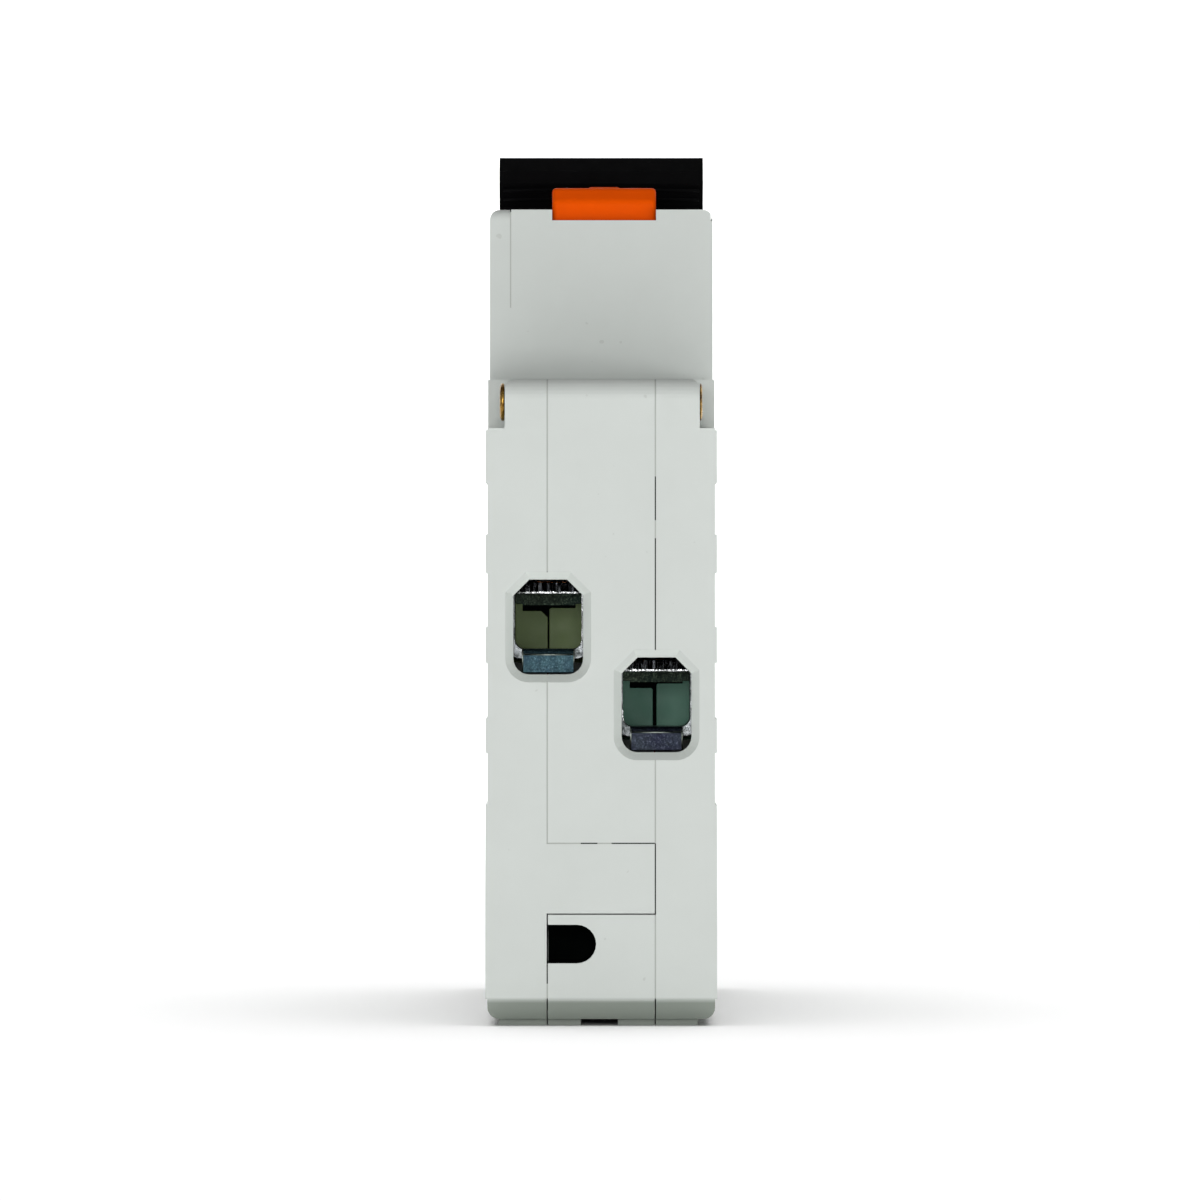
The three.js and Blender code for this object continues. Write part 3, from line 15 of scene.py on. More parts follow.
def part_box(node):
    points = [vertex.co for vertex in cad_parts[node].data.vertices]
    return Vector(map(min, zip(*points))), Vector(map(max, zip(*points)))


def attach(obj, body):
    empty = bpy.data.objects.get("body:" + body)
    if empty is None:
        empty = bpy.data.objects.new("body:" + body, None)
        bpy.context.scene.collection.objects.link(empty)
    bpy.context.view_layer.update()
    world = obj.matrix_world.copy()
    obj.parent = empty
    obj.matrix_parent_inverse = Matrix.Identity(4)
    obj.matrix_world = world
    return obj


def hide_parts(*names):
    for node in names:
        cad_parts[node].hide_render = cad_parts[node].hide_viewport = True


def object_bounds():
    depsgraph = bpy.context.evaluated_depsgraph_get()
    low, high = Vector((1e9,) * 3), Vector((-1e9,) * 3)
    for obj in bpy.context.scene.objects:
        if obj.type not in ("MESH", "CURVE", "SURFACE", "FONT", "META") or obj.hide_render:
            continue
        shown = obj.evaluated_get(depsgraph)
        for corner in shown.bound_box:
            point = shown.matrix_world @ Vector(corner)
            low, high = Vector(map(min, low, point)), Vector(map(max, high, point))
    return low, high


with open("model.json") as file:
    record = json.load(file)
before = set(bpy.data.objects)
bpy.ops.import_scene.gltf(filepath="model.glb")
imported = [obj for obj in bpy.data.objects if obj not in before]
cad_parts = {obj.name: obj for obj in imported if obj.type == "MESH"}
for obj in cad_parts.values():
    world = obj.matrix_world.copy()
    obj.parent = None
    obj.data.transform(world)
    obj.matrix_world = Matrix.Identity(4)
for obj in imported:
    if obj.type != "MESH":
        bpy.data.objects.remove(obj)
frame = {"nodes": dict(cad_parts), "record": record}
CAD_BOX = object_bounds()
MM = 0.001
rng = random.Random(7)

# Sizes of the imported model, in millimetres.
END_Y = 41.5
NOSE_Y = 22.5
SHOULDER_Z = 44.0
SHOULDER_RADIUS = 1.5
NOSE_Z = 57.8
SEAM_X = 4.2
SEAM = 0.1
NOSE_SEAM_LEFT = -7.2
NOSE_SEAM_RIGHT = 8.75
CHAMFER_TOP = -4.05
CLIP_TOP = 2.4
TONGUE_TOP = 7.9
ENTRY_WIDTH = 5.45
ENTRY_RISE = 1.1  # from the clamp bar's underside, where a terminal's own frame starts
ENTRY_DROP = 6.3
ENTRY_CORNER = 1.25
PARTITION_Y = 31.12
SCREW_Y = 35.0
TOGGLE_PIVOT_Z = 51.0
TOGGLE_LEAN = 40  # degrees
BAR_THICKNESS = 0.85
BAR_WIDTH = 4.9
CAGE_DEPTH = 7.2
CAGE_WALL = 0.65
CAGE_OPENING = 4.3
LIP_WIDTH = 4.1
# Name, x, end (-1 is the load end) and z of the clamp bar's underside.
TERMINALS = [
    ("load_line", -4.125, -1, 27.3),
    ("load_neutral", 4.295, -1, 21.25),
    ("supply_line", -4.125, 1, 27.3),
    ("supply_neutral", 4.295, 1, 21.25),
]

# ---------------------------------------------------------------- materials


def srgb(r, g, b):
    """A colour given as 0 to 255 values, as linear RGBA."""
    def linear(v):
        v /= 255
        return v / 12.92 if v <= 0.04045 else ((v + 0.055) / 1.055) ** 2.4
    return (linear(r), linear(g), linear(b), 1.0)


class Material:
    """A Principled material with a few helpers for its node tree."""

    def __init__(self, name, colour, roughness, metallic=0.0):
        self.material = bpy.data.materials.new(name)
        self.material.use_nodes = True
        self.nodes = self.material.node_tree.nodes
        self.links = self.material.node_tree.links
        self.shader = self.nodes["Principled BSDF"]
        self.shader.inputs["Base Color"].default_value = colour
        self.shader.inputs["Roughness"].default_value = roughness
        self.shader.inputs["Metallic"].default_value = metallic
        self.colour = colour
        self.roughness = roughness
        self.place = self.nodes.new("ShaderNodeTexCoord").outputs["Object"]

    def math(self, operation, a, b):
        node = self.nodes.new("ShaderNodeMath")
        node.operation = operation
        for socket, value in zip(node.inputs, (a, b)):
            if isinstance(value, (int, float)):
                socket.default_value = value
            else:
                self.links.new(value, socket)
        return node.outputs["Value"]

    def axis(self, letter):
        """One object coordinate, in millimetres."""
        node = self.nodes.new("ShaderNodeSeparateXYZ")
        self.links.new(self.place, node.inputs["Vector"])
        return self.math("DIVIDE", node.outputs[letter], MM)

    def stretched(self, scale):
        """Object coordinates, multiplied along each axis."""
        node = self.nodes.new("ShaderNodeMapping")
        node.inputs["Scale"].default_value = scale
        self.links.new(self.place, node.inputs["Vector"])
        return node.outputs["Vector"]

    def noise(self, per_mm, detail=3.0, rough=0.55, stretch=(1, 1, 1)):
        """Noise with a number of features per millimetre, from 0 to 1."""
        node = self.nodes.new("ShaderNodeTexNoise")
        node.inputs["Scale"].default_value = per_mm / MM
        node.inputs["Detail"].default_value = detail
        node.inputs["Roughness"].default_value = rough
        self.links.new(self.stretched(stretch), node.inputs["Vector"])
        return node.outputs["Fac"]

    def ramp(self, value, low, high, to_low=0.0, to_high=1.0):
        """Maps a value's range from low to high onto another."""
        node = self.nodes.new("ShaderNodeMapRange")
        node.inputs["From Min"].default_value = low
        node.inputs["From Max"].default_value = high
        node.inputs["To Min"].default_value = to_low
        node.inputs["To Max"].default_value = to_high
        self.links.new(value, node.inputs["Value"])
        return node.outputs["Result"]

    def tint(self, value, other):
        """Mixes the base colour with another where value is 1."""
        node = self.nodes.new("ShaderNodeMix")
        node.data_type = "RGBA"
        a, b = [s for s in node.inputs if s.type == "RGBA"]
        out = [s for s in node.outputs if s.type == "RGBA"][0]
        socket = self.shader.inputs["Base Color"]
        if socket.is_linked:
            self.links.new(socket.links[0].from_socket, a)
        else:
            a.default_value = self.colour
        b.default_value = other
        self.links.new(value, node.inputs[0])
        self.links.new(out, socket)

    def bump(self, height, depth_mm, strength=1.0):
        """Adds a bump of a depth in millimetres."""
        node = self.nodes.new("ShaderNodeBump")
        node.inputs["Distance"].default_value = depth_mm * MM
        node.inputs["Strength"].default_value = strength
        self.links.new(height, node.inputs["Height"])
        socket = self.shader.inputs["Normal"]
        if socket.is_linked:
            self.links.new(socket.links[0].from_socket, node.inputs["Normal"])
        self.links.new(node.outputs["Normal"], socket)

    def vary_roughness(self, value, spread):
        self.links.new(
            self.ramp(value, 0.3, 0.7, self.roughness - spread, self.roughness + spread),
            self.shader.inputs["Roughness"],
        )


def scaled(colour, factor):
    return tuple(c * factor for c in colour[:3]) + (1.0,)


def moulded(name, colour, roughness, grain=0.012, mottle=0.05, specular=0.4):
    """Moulded plastic: fine spark-eroded grain, faint mottling and flow marks."""
    made = Material(name, colour, roughness)
    made.tint(made.ramp(made.noise(0.12), 0.35, 0.75), scaled(colour, 1 - mottle))
    made.vary_roughness(made.noise(0.8, detail=4), 0.06)
    made.bump(made.noise(9, detail=2), grain, 0.35)
    made.bump(made.noise(0.35, detail=2), 0.05, 0.12)
    made.shader.inputs["Specular IOR Level"].default_value = specular
    return made


def housing_plastic():
    """Pale grey-green plastic with a few dark specks, and painted shade on the chamfer at its foot."""
    colour = srgb(205, 210, 206)
    made = moulded("housing_plastic", colour, 0.55, mottle=0.035, specular=0.3)
    specks = made.ramp(made.noise(1.3, detail=1, rough=0.3), 0.775, 0.8)
    made.tint(made.math("MULTIPLY", specks, 0.16), srgb(120, 122, 112))
    # Painted shade: the down-facing chamfer below CHAMFER_TOP is darkened.
    shade = made.ramp(made.axis("Z"), CHAMFER_TOP, CHAMFER_TOP - 0.45)
    made.tint(made.math("MULTIPLY", shade, 0.72), srgb(98, 108, 95))
    return made.material


def metal(name, colour, roughness, scratch=(1, 1, 1), mottle=None, depth=0.01, amount=1.0):
    """Metal with a fine directional finish and patches of another tint."""
    made = Material(name, colour, roughness, metallic=1.0)
    grain = made.noise(4, detail=4, stretch=scratch)
    made.vary_roughness(grain, 0.1)
    made.bump(grain, depth, 0.5)
    if mottle:
        patches = made.ramp(made.noise(0.9, detail=5, rough=0.7), 0.42, 0.62, 0, amount)
        made.tint(patches, mottle)
    return made


def speckled_zinc(name, dark, light, stain):
    """Passivated zinc plate: dark, with fine bright crystals and a coloured stain."""
    made = Material(name, dark, 0.42, metallic=0.85)
    crystals = made.ramp(made.noise(8, detail=5, rough=0.85), 0.52, 0.66)
    made.tint(made.ramp(made.noise(0.5, detail=3), 0.4, 0.65), stain)
    made.tint(crystals, light)
    made.vary_roughness(made.noise(3, detail=4), 0.14)
    made.bump(made.noise(8, detail=5, rough=0.85), 0.02, 0.7)
    return made.material


def fluted_metal():
    """A sawn bar's edge: nearly black, with vertical scores whose bright lines are painted glints."""
    made = Material("clamp_bar", srgb(22, 23, 24), 0.3, metallic=1.0)
    scores_and_painted_glints = made.noise(1, detail=4, rough=0.75, stretch=(7, 0.25, 0.35))
    # Painted glints: the scores are tinted bright where the flutes would catch the light.
    made.tint(made.ramp(scores_and_painted_glints, 0.5, 0.68), srgb(225, 228, 232))
    made.vary_roughness(made.noise(3, detail=4), 0.12)
    made.bump(scores_and_painted_glints, 0.08, 0.8)
    return made


HOUSING = housing_plastic()
FRAME_EDGE = moulded("entry_rim_plastic", srgb(207, 213, 208), 0.45, mottle=0.02).material
BLACK = moulded("black_plastic", srgb(4, 4, 5), 0.6, mottle=0.3, specular=0.05).material
ORANGE = moulded("orange_plastic", srgb(247, 88, 0), 0.5, mottle=0.08, specular=0.02).material
INNER = moulded("inner_plastic", srgb(92, 104, 90), 0.6).material
OLIVE = moulded("olive_partition", srgb(103, 122, 72), 0.55, mottle=0.2).material
TEAL = moulded("teal_partition", srgb(80, 128, 109), 0.55, mottle=0.2).material
SHADE = moulded("shaded_recess", srgb(6, 9, 8), 0.9, specular=0.02).material
DARK = moulded("bobbin_plastic", srgb(30, 31, 33), 0.5).material
BRASS = metal("brass", srgb(206, 164, 84), 0.3, (0.2, 1, 1), srgb(96, 66, 22), 0.02).material
ZINC = metal("zinc_plate", srgb(138, 142, 144), 0.3, (1, 1, 1), srgb(40, 45, 44), 0.12).material
# Worn metal for the lip's edges, also the painted highlight on the lip's bend.
WORN_AND_HIGHLIGHT = metal("edge_wear_and_painted_highlight", srgb(150, 158, 150), 0.35, (1, 1, 1), srgb(96, 104, 98), 0.03).material
# Painted shade for the seam gaps, faint and dark.
SEAM_FAINT_SHADE = moulded("seam_faint_shade", srgb(180, 184, 179), 0.8, specular=0.05).material
SEAM_SHADE = moulded("seam_shade", srgb(62, 64, 61), 0.9, specular=0.02).material
BAR_METAL = fluted_metal().material
# Bright metal for the bars' sheared burrs, also used for painted highlights in the cages' mouths.
BURR_AND_HIGHLIGHT = metal("sheared_burr_and_painted_highlight", srgb(246, 248, 250), 0.2, (3, 1, 1), srgb(120, 124, 120), 0.08).material
# Dark speckled metal of the clamp jaw, also used as painted shade under the bar.
JAW_AND_PAINTED_SHADE = speckled_zinc("clamp_jaw_and_painted_shade", srgb(22, 30, 23), srgb(84, 98, 80), srgb(16, 30, 25))
LIP_BLUE = speckled_zinc("lip_blue", srgb(28, 48, 60), srgb(84, 110, 120), srgb(42, 66, 72))
LIP_INDIGO = speckled_zinc("lip_indigo", srgb(18, 21, 38), srgb(76, 82, 96), srgb(30, 36, 44))
STEEL = metal("bright_steel", srgb(188, 190, 194), 0.3, (1, 1, 0.15), srgb(140, 140, 142)).material
COPPER = metal("copper", srgb(205, 130, 84), 0.35, (1, 1, 0.2), srgb(150, 84, 50)).material
FERRITE = moulded("coated_core", srgb(58, 60, 66), 0.6).material
BLUE = moulded("blue_insulation", srgb(34, 84, 176), 0.35).material
BOARD = moulded("board_laminate", srgb(26, 104, 58), 0.35).material

SLOT_MATERIALS = {
    "housing": HOUSING,
    "black_plastic": BLACK,
    "orange_plastic": ORANGE,
    "inner_plastic": INNER,
    "brass": BRASS,
    "zinc_steel": ZINC,
    "steel": STEEL,
    "copper": COPPER,
    "circuit_laminate": BOARD,
    "ferrite": FERRITE,
    "blue_insulation": BLUE,
}

# ---------------------------------------------------------------- building pieces, in millimetres


def new_piece(name, verts, faces, material, body, replaces=(), smooth=True):
    """A mesh object that rides on a body, with its material."""
    mesh = bpy.data.meshes.new(name)
    mesh.from_pydata([Vector(v) * MM for v in verts], [], faces)
    built = bmesh.new()
    built.from_mesh(mesh)
    bmesh.ops.remove_doubles(built, verts=built.verts, dist=1e-7)
    bmesh.ops.recalc_face_normals(built, faces=built.faces)
    built.to_mesh(mesh)
    built.free()
    piece = bpy.data.objects.new(name, mesh)
    bpy.context.collection.objects.link(piece)
    mesh.materials.append(material)
    for face in mesh.polygons:
        face.use_smooth = smooth
    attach(piece, body)
    if replaces:
        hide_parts(*replaces)
    return piece


def soften(piece, width_mm, segments=2, angle=35):
    """Cleans a faceted solid's flats and rounds its sharp edges."""
    clean = piece.modifiers.new("flats", "DECIMATE")
    clean.decimate_type = "DISSOLVE"
    clean.angle_limit = math.radians(1)
    edges = piece.modifiers.new("edges", "BEVEL")
    edges.width = width_mm * MM
    edges.segments = segments
    edges.limit_method = "ANGLE"
    edges.angle_limit = math.radians(angle)
    edges.harden_normals = True
    edges.miter_outer = "MITER_ARC"
    for face in piece.data.polygons:
        face.use_smooth = True
    return piece


def box_mesh(x, y, z):
    corners = [(a, b, c) for a in x for b in y for c in z]
    faces = [(0, 1, 3, 2), (4, 6, 7, 5), (0, 4, 5, 1), (2, 3, 7, 6), (0, 2, 6, 4), (1, 5, 7, 3)]
    return corners, faces


def joined(meshes):
    """Several (verts, faces) as one."""
    verts, faces = [], []
    for more_verts, more_faces in meshes:
        base = len(verts)
        verts += list(more_verts)
        faces += [tuple(base + i for i in face) for face in more_faces]
    return verts, faces


def prism_mesh(points, span, axis):
    """A polygon drawn across an axis: (y, z) along x, (x, z) along y, (x, y) along z."""
    def at(a, b, c):
        return {"x": (c, a, b), "y": (a, c, b), "z": (a, b, c)}[axis]
    count = len(points)
    verts = [at(a, b, c) for c in span for a, b in points]
    sides = [(i, (i + 1) % count, count + (i + 1) % count, count + i) for i in range(count)]
    return verts, [tuple(range(count)), tuple(range(count, 2 * count)), *sides]


def lathe_mesh(profile, axis, centre, sides=32):
    """A profile of (along, radius) turned round an axis. A radius of 0 closes an end."""
    def at(along, u, v):
        offset = {"x": (along, u, v), "y": (u, along, v), "z": (u, v, along)}[axis]
        return tuple(c + o for c, o in zip(centre, offset))
    verts, faces, rings = [], [], []
    for along, radius in profile:
        if radius < 1e-6:
            rings.append([len(verts)])
            verts.append(at(along, 0, 0))
            continue
        rings.append(list(range(len(verts), len(verts) + sides)))
        for i in range(sides):
            angle = 2 * math.pi * i / sides
            verts.append(at(along, radius * math.cos(angle), radius * math.sin(angle)))
    for first, second in zip(rings, rings[1:]):
        for i in range(sides):
            k = (i + 1) % sides
            quad = [first[i % len(first)], first[k % len(first)]]
            quad += [second[k % len(second)], second[i % len(second)]]
            faces.append(tuple(dict.fromkeys(quad)))
    return verts, faces


def tube_mesh(points, radius, sides=10):
    """A round wire along points, with closed ends and no twist."""
    points = [Vector(p) for p in points]
    verts, faces = [], []
    across = None
    for i, point in enumerate(points):
        ahead = points[min(i + 1, len(points) - 1)] - points[max(i - 1, 0)]
        ahead.normalize()
        if across is None:
            across = ahead.orthogonal().normalized()
        across = (across - ahead * across.dot(ahead)).normalized()
        other = ahead.cross(across)
        for k in range(sides):
            angle = 2 * math.pi * k / sides
            verts.append(point + (across * math.cos(angle) + other * math.sin(angle)) * radius)
    for i in range(len(points) - 1):
        for k in range(sides):
            a = i * sides + k
            b = i * sides + (k + 1) % sides
            faces.append((a, b, b + sides, a + sides))
    faces.append(tuple(range(sides)))
    faces.append(tuple(range(len(verts) - sides, len(verts))))
    return verts, faces


def helix_points(centre, axis, radius, length, turns, steps=20, dead=0.0):
    """Points of a spring that starts at centre; dead is the share of each end that lies flat."""
    points = []
    count = int(turns * steps)
    for i in range(count + 1):
        t = i / count
        rise = min(max((t - dead) / (1 - 2 * dead), 0), 1)
        angle = 2 * math.pi * turns * t
        u, v = radius * math.cos(angle), radius * math.sin(angle)
        along = length * rise
        offset = {"x": (along, u, v), "y": (v, along, u), "z": (u, v, along)}[axis]
        points.append(tuple(c + o for c, o in zip(centre, offset)))
    return points


def cut_by(piece, cutters):
    """Cuts (verts, faces) bodies out of a piece's mesh."""
    for verts, faces in cutters:
        mesh = bpy.data.meshes.new("cutter")
        mesh.from_pydata([Vector(v) * MM for v in verts], [], faces)
        built = bmesh.new()
        built.from_mesh(mesh)
        bmesh.ops.recalc_face_normals(built, faces=built.faces)
        built.to_mesh(mesh)
        built.free()
        cutter = bpy.data.objects.new("cutter", mesh)
        bpy.context.collection.objects.link(cutter)
        cutting = piece.modifiers.new("cut", "BOOLEAN")
        cutting.operation = "DIFFERENCE"
        cutting.solver = "EXACT"
        cutting.object = cutter
        graph = bpy.context.evaluated_depsgraph_get()
        result = bpy.data.meshes.new_from_object(piece.evaluated_get(graph))
        piece.modifiers.remove(cutting)
        piece.data = result
        bpy.data.objects.remove(cutter)
        bpy.data.meshes.remove(mesh)
    for face in piece.data.polygons:
        face.use_smooth = True


# ---------------------------------------------------------------- carried-over CAD nodes

nodes = frame["nodes"]
SLOTS = {part["node"]: part["material_slot"] for part in frame["record"]["subparts"]}
for name, piece in nodes.items():
    piece.data.materials.clear()
    piece.data.materials.append(SLOT_MATERIALS[SLOTS[name]])

for name in ("coil_bobbin", "relay_bobbin"):
    nodes[name].data.materials[0] = DARK

BEVELS = {
    "left_cover": 0.1, "middle_frame": 0.1, "right_cover": 0.1, "rail_clip": 0.1,
    "toggle_handle": 0.3,
    "toggle_link": 0.08, "latch_lever": 0.08, "toggle_pin": 0.1, "contact_shaft": 0.1,
    "line_contact_arm": 0.12, "neutral_contact_arm": 0.12, "line_fixed_contact": 0.1,
    "neutral_fixed_contact": 0.1, "load_strip": 0.1, "supply_strip": 0.1, "arc_runner": 0.1,
    "bimetal_strip": 0.08, "coil_yoke": 0.1, "relay_yoke": 0.1, "coil_plunger": 0.12,
    "relay_plunger": 0.12, "coil_bobbin": 0.08, "relay_bobbin": 0.08, "trip_lever": 0.1,
    "trip_pin": 0.08, "arc_chute": 0.04, "circuit_board": 0.06, "thyristor": 0.15,
    "test_contact": 0.05, "relay_winding": 0.12, "current_transformer": 0.15, "capacitor": 0.15,
    "varistor": 0.12, "test_resistor": 0.06,
}
for name, width in BEVELS.items():
    soften(nodes[name], width)

for name in ("clip_spring", "test_spring", "contact_spring", "contact_braid"):
    for face in nodes[name].data.polygons:
        face.use_smooth = True

# ---------------------------------------------------------------- housing details


def seam_fillers():
    """The joggled joint behind each seam, which keeps light out: strips under the surface, coloured as faint
    or dark painted shade in the seam gaps, or flush in the housing's colour.
    """
    strips = {"faint_shade": [], "dark": [], "flush": []}
    half = SEAM / 2
    thickness = 0.4
    straight_top = SHOULDER_Z - SHOULDER_RADIUS + 0.1
    bottom = CHAMFER_TOP - 0.1
    nose_foot = SHOULDER_Z + 0.1

    def end_strip(kind, x, z0, z1, face=END_Y, depth=0.04):
        for end in (-1, 1):
            ys = sorted((end * (face - depth), end * (face - depth - thickness)))
            strips[kind].append(box_mesh((x - half, x + half), ys, (z0, z1)))

    # Where the photograph's seams are faint and where they are dark: painted shade in the gaps.
    end_strip("faint_shade", -SEAM_X, 29.0, straight_top)
    end_strip("faint_shade", -SEAM_X, TONGUE_TOP, 20.5)
    end_strip("faint_shade", -SEAM_X, bottom, -3.0)
    end_strip("dark", -SEAM_X, -3.0, -1.5)
    end_strip("faint_shade", SEAM_X, 36.4, straight_top)
    end_strip("dark", SEAM_X, 33.0, 36.4)
    end_strip("faint_shade", SEAM_X, 31.6, 33.0)
    end_strip("dark", SEAM_X, 22.9, 31.6)
    end_strip("faint_shade", SEAM_X, TONGUE_TOP, 14.4)
    end_strip("dark", SEAM_X, CLIP_TOP + half, TONGUE_TOP, depth=0.1)
    end_strip("faint_shade", SEAM_X, bottom, CLIP_TOP - half)
    end_strip("flush", NOSE_SEAM_LEFT, nose_foot, 50.0, NOSE_Y, 0.006)
    end_strip("faint_shade", NOSE_SEAM_LEFT, 50.0, NOSE_Z - 0.2, NOSE_Y, 0.012)
    end_strip("flush", NOSE_SEAM_RIGHT, nose_foot, NOSE_Z - 0.9, NOSE_Y, 0.006)
    for kind, x0, x1 in (
        ("faint_shade", -4.2, -1.6), ("dark", -1.6, -0.3), ("faint_shade", -0.3, 0.8), ("dark", 0.8, 4.15),
    ):
        ys = (-END_Y + 0.05, -END_Y + 0.5)
        strips[kind].append(box_mesh((x0, x1), ys, (TONGUE_TOP - half, TONGUE_TOP + half)))
    screw_hole = 3.3
    decks = (
        (NOSE_Y + 0.2, SCREW_Y - screw_hole),
        (SCREW_Y + screw_hole, END_Y - SHOULDER_RADIUS + 0.1),
    )
    steps = 6
    for end in (-1, 1):
        for x in (-SEAM_X, SEAM_X):
            xs = (x - half, x + half)
            for y0, y1 in decks:
                ys = sorted((end * y0, end * y1))
                strips["faint_shade"].append(box_mesh(xs, ys, (SHOULDER_Z - 0.5, SHOULDER_Z - 0.05)))
            outside = (SHOULDER_RADIUS - 0.04, range(steps + 1))
            inside = (SHOULDER_RADIUS - 0.5, range(steps, -1, -1))
            arc = []
            for radius, turn in (outside, inside):
                for i in turn:
                    angle = (math.pi / 2) * i / steps
                    arc.append((
                        end * (END_Y - SHOULDER_RADIUS + radius * math.sin(angle)),
                        SHOULDER_Z - SHOULDER_RADIUS + radius * math.cos(angle),
                    ))
            strips["faint_shade"].append(prism_mesh(arc, xs, "x"))
    for kind, material in (("faint_shade", SEAM_FAINT_SHADE), ("dark", SEAM_SHADE), ("flush", HOUSING)):
        verts, faces = joined(strips[kind])
        new_piece(
            "seam_joggle_" + kind, verts, faces, material, "housing", smooth=False,
        )


def entry_outline(x, z, grow=0.0, steps=6):
    """The wire entry's outline, (x, z): cut top corners and round bottom corners."""
    half = ENTRY_WIDTH / 2 + grow
    top = z + ENTRY_RISE + grow
    bottom = z - ENTRY_DROP - grow
    cut = ENTRY_CORNER + grow * 0.4
    points = [(x + half, top - cut), (x + half - cut, top)]
    points += [(x - half + cut, top), (x - half, top - cut)]
    radius = ENTRY_CORNER + grow
    for side, start in ((-1, math.pi), (1, 1.5 * math.pi)):
        centre_x = x + side * (half - radius)
        centre_z = bottom + radius
        for i in range(steps + 1):
            angle = start + (math.pi / 2) * i / steps
            points.append((centre_x + radius * math.cos(angle), centre_z + radius * math.sin(angle)))
    return points


def entry_rims():
    """The glossy flared rim inside each wire entry, a skin on the flare."""
    for name, x, end, z in TERMINALS:
        loops = [(0.56, 0.02), (0.30, 0.28), (0.02, 0.57), (0.02, 1.45)]  # growth and depth
        inner = [(grow - 0.03, depth + 0.02) for grow, depth in reversed(loops)]
        verts, faces = [], []
        rings = []
        for grow, depth in loops + inner:
            outline = entry_outline(x, z, grow)
            rings.append(range(len(verts), len(verts) + len(outline)))
            verts += [(px, end * (END_Y - depth), pz) for px, pz in outline]
        for first, second in zip(rings, [*rings[1:], rings[0]]):
            count = len(first)
            for i in range(count):
                faces.append((first[i], first[(i + 1) % count], second[(i + 1) % count], second[i]))
        new_piece(
            name + "_entry_rim", verts, faces, FRAME_EDGE, "housing", smooth=False,
        )


def partitions():
    """The wall behind each cage: two mouldings that meet at a seam, with the bar's slot above."""
    for name, x, end, z in TERMINALS:
        line_pole = x < 0
        material = OLIVE if line_pole else TEAL
        seam = 0.06 if line_pole else 0.14
        middle = x - 0.02 if line_pole else x - 0.1
        step = 0.225 if line_pole else 0.1
        chamfer = 0.5 if line_pole else 0.12
        low, slot_low, slot_high, high = z - 5.4, z - 1.36, z - 0.9, z - 0.8
        ys = sorted((end * PARTITION_Y, end * (PARTITION_Y + 0.12)))
        slot_left, slot_right = x - 2.05, x + 2.1
        left, right = x - 2.9, x + 2.9
        left_panel = [
            (left, low), (middle - seam, low), (middle - seam, slot_low - chamfer),
            (middle - seam - chamfer, slot_low), (slot_left, slot_low), (slot_left, slot_high),
            (slot_left, high), (left, high),
        ]
        right_panel = [
            (middle + seam, low), (right, low), (right, high), (slot_right, high),
            (slot_right, slot_high - step), (middle + seam + 0.1, slot_high - step),
            (middle + seam, slot_high - step - 0.1),
        ]
        panels = [prism_mesh(panel, ys, "y") for panel in (left_panel, right_panel)]
        verts, faces = joined(panels)
        piece = new_piece(
            name + "_partition", verts, faces, material, "housing", smooth=False,
        )
        soften(piece, 0.05, 2)
        # Painted shade: a dark sheet behind the two panels, seen through their seam.
        dark_ys = sorted((end * (PARTITION_Y - 0.02), end * (PARTITION_Y + 0.01)))
        behind = [(left, low), (right, low), (right, z + 0.3), (left, z + 0.3)]
        verts, faces = prism_mesh(behind, dark_ys, "y")
        new_piece(
            name + "_partition_gap_shade", verts, faces, SHADE, "housing", smooth=False,
        )
        # Dark speckled metal in the slot and in a band across the whole wall under the bar: the clamp jaw,
        # widened as painted shade under the bar.
        jaw_ys = sorted((end * PARTITION_Y, end * (PARTITION_Y + 0.2)))
        foot = [(slot_left, slot_high), (slot_right, slot_high), (slot_right, high), (slot_left, high)]
        heel = [prism_mesh(foot, jaw_ys, "y"), box_mesh((left, right), jaw_ys, (high, z - 0.02))]
        verts, faces = joined(heel)
        new_piece(name + "_clamp_heel", verts, faces, JAW_AND_PAINTED_SHADE, "housing", smooth=False)


# ---------------------------------------------------------------- terminals, rivets, toggle


def place_terminal(verts, x, end, z):
    """From a terminal's own frame, where the wire comes in along +Y, to the module's."""
    return [(x - end * vx, end * (SCREW_Y - vy), z + vz) for vx, vy, vz in verts]


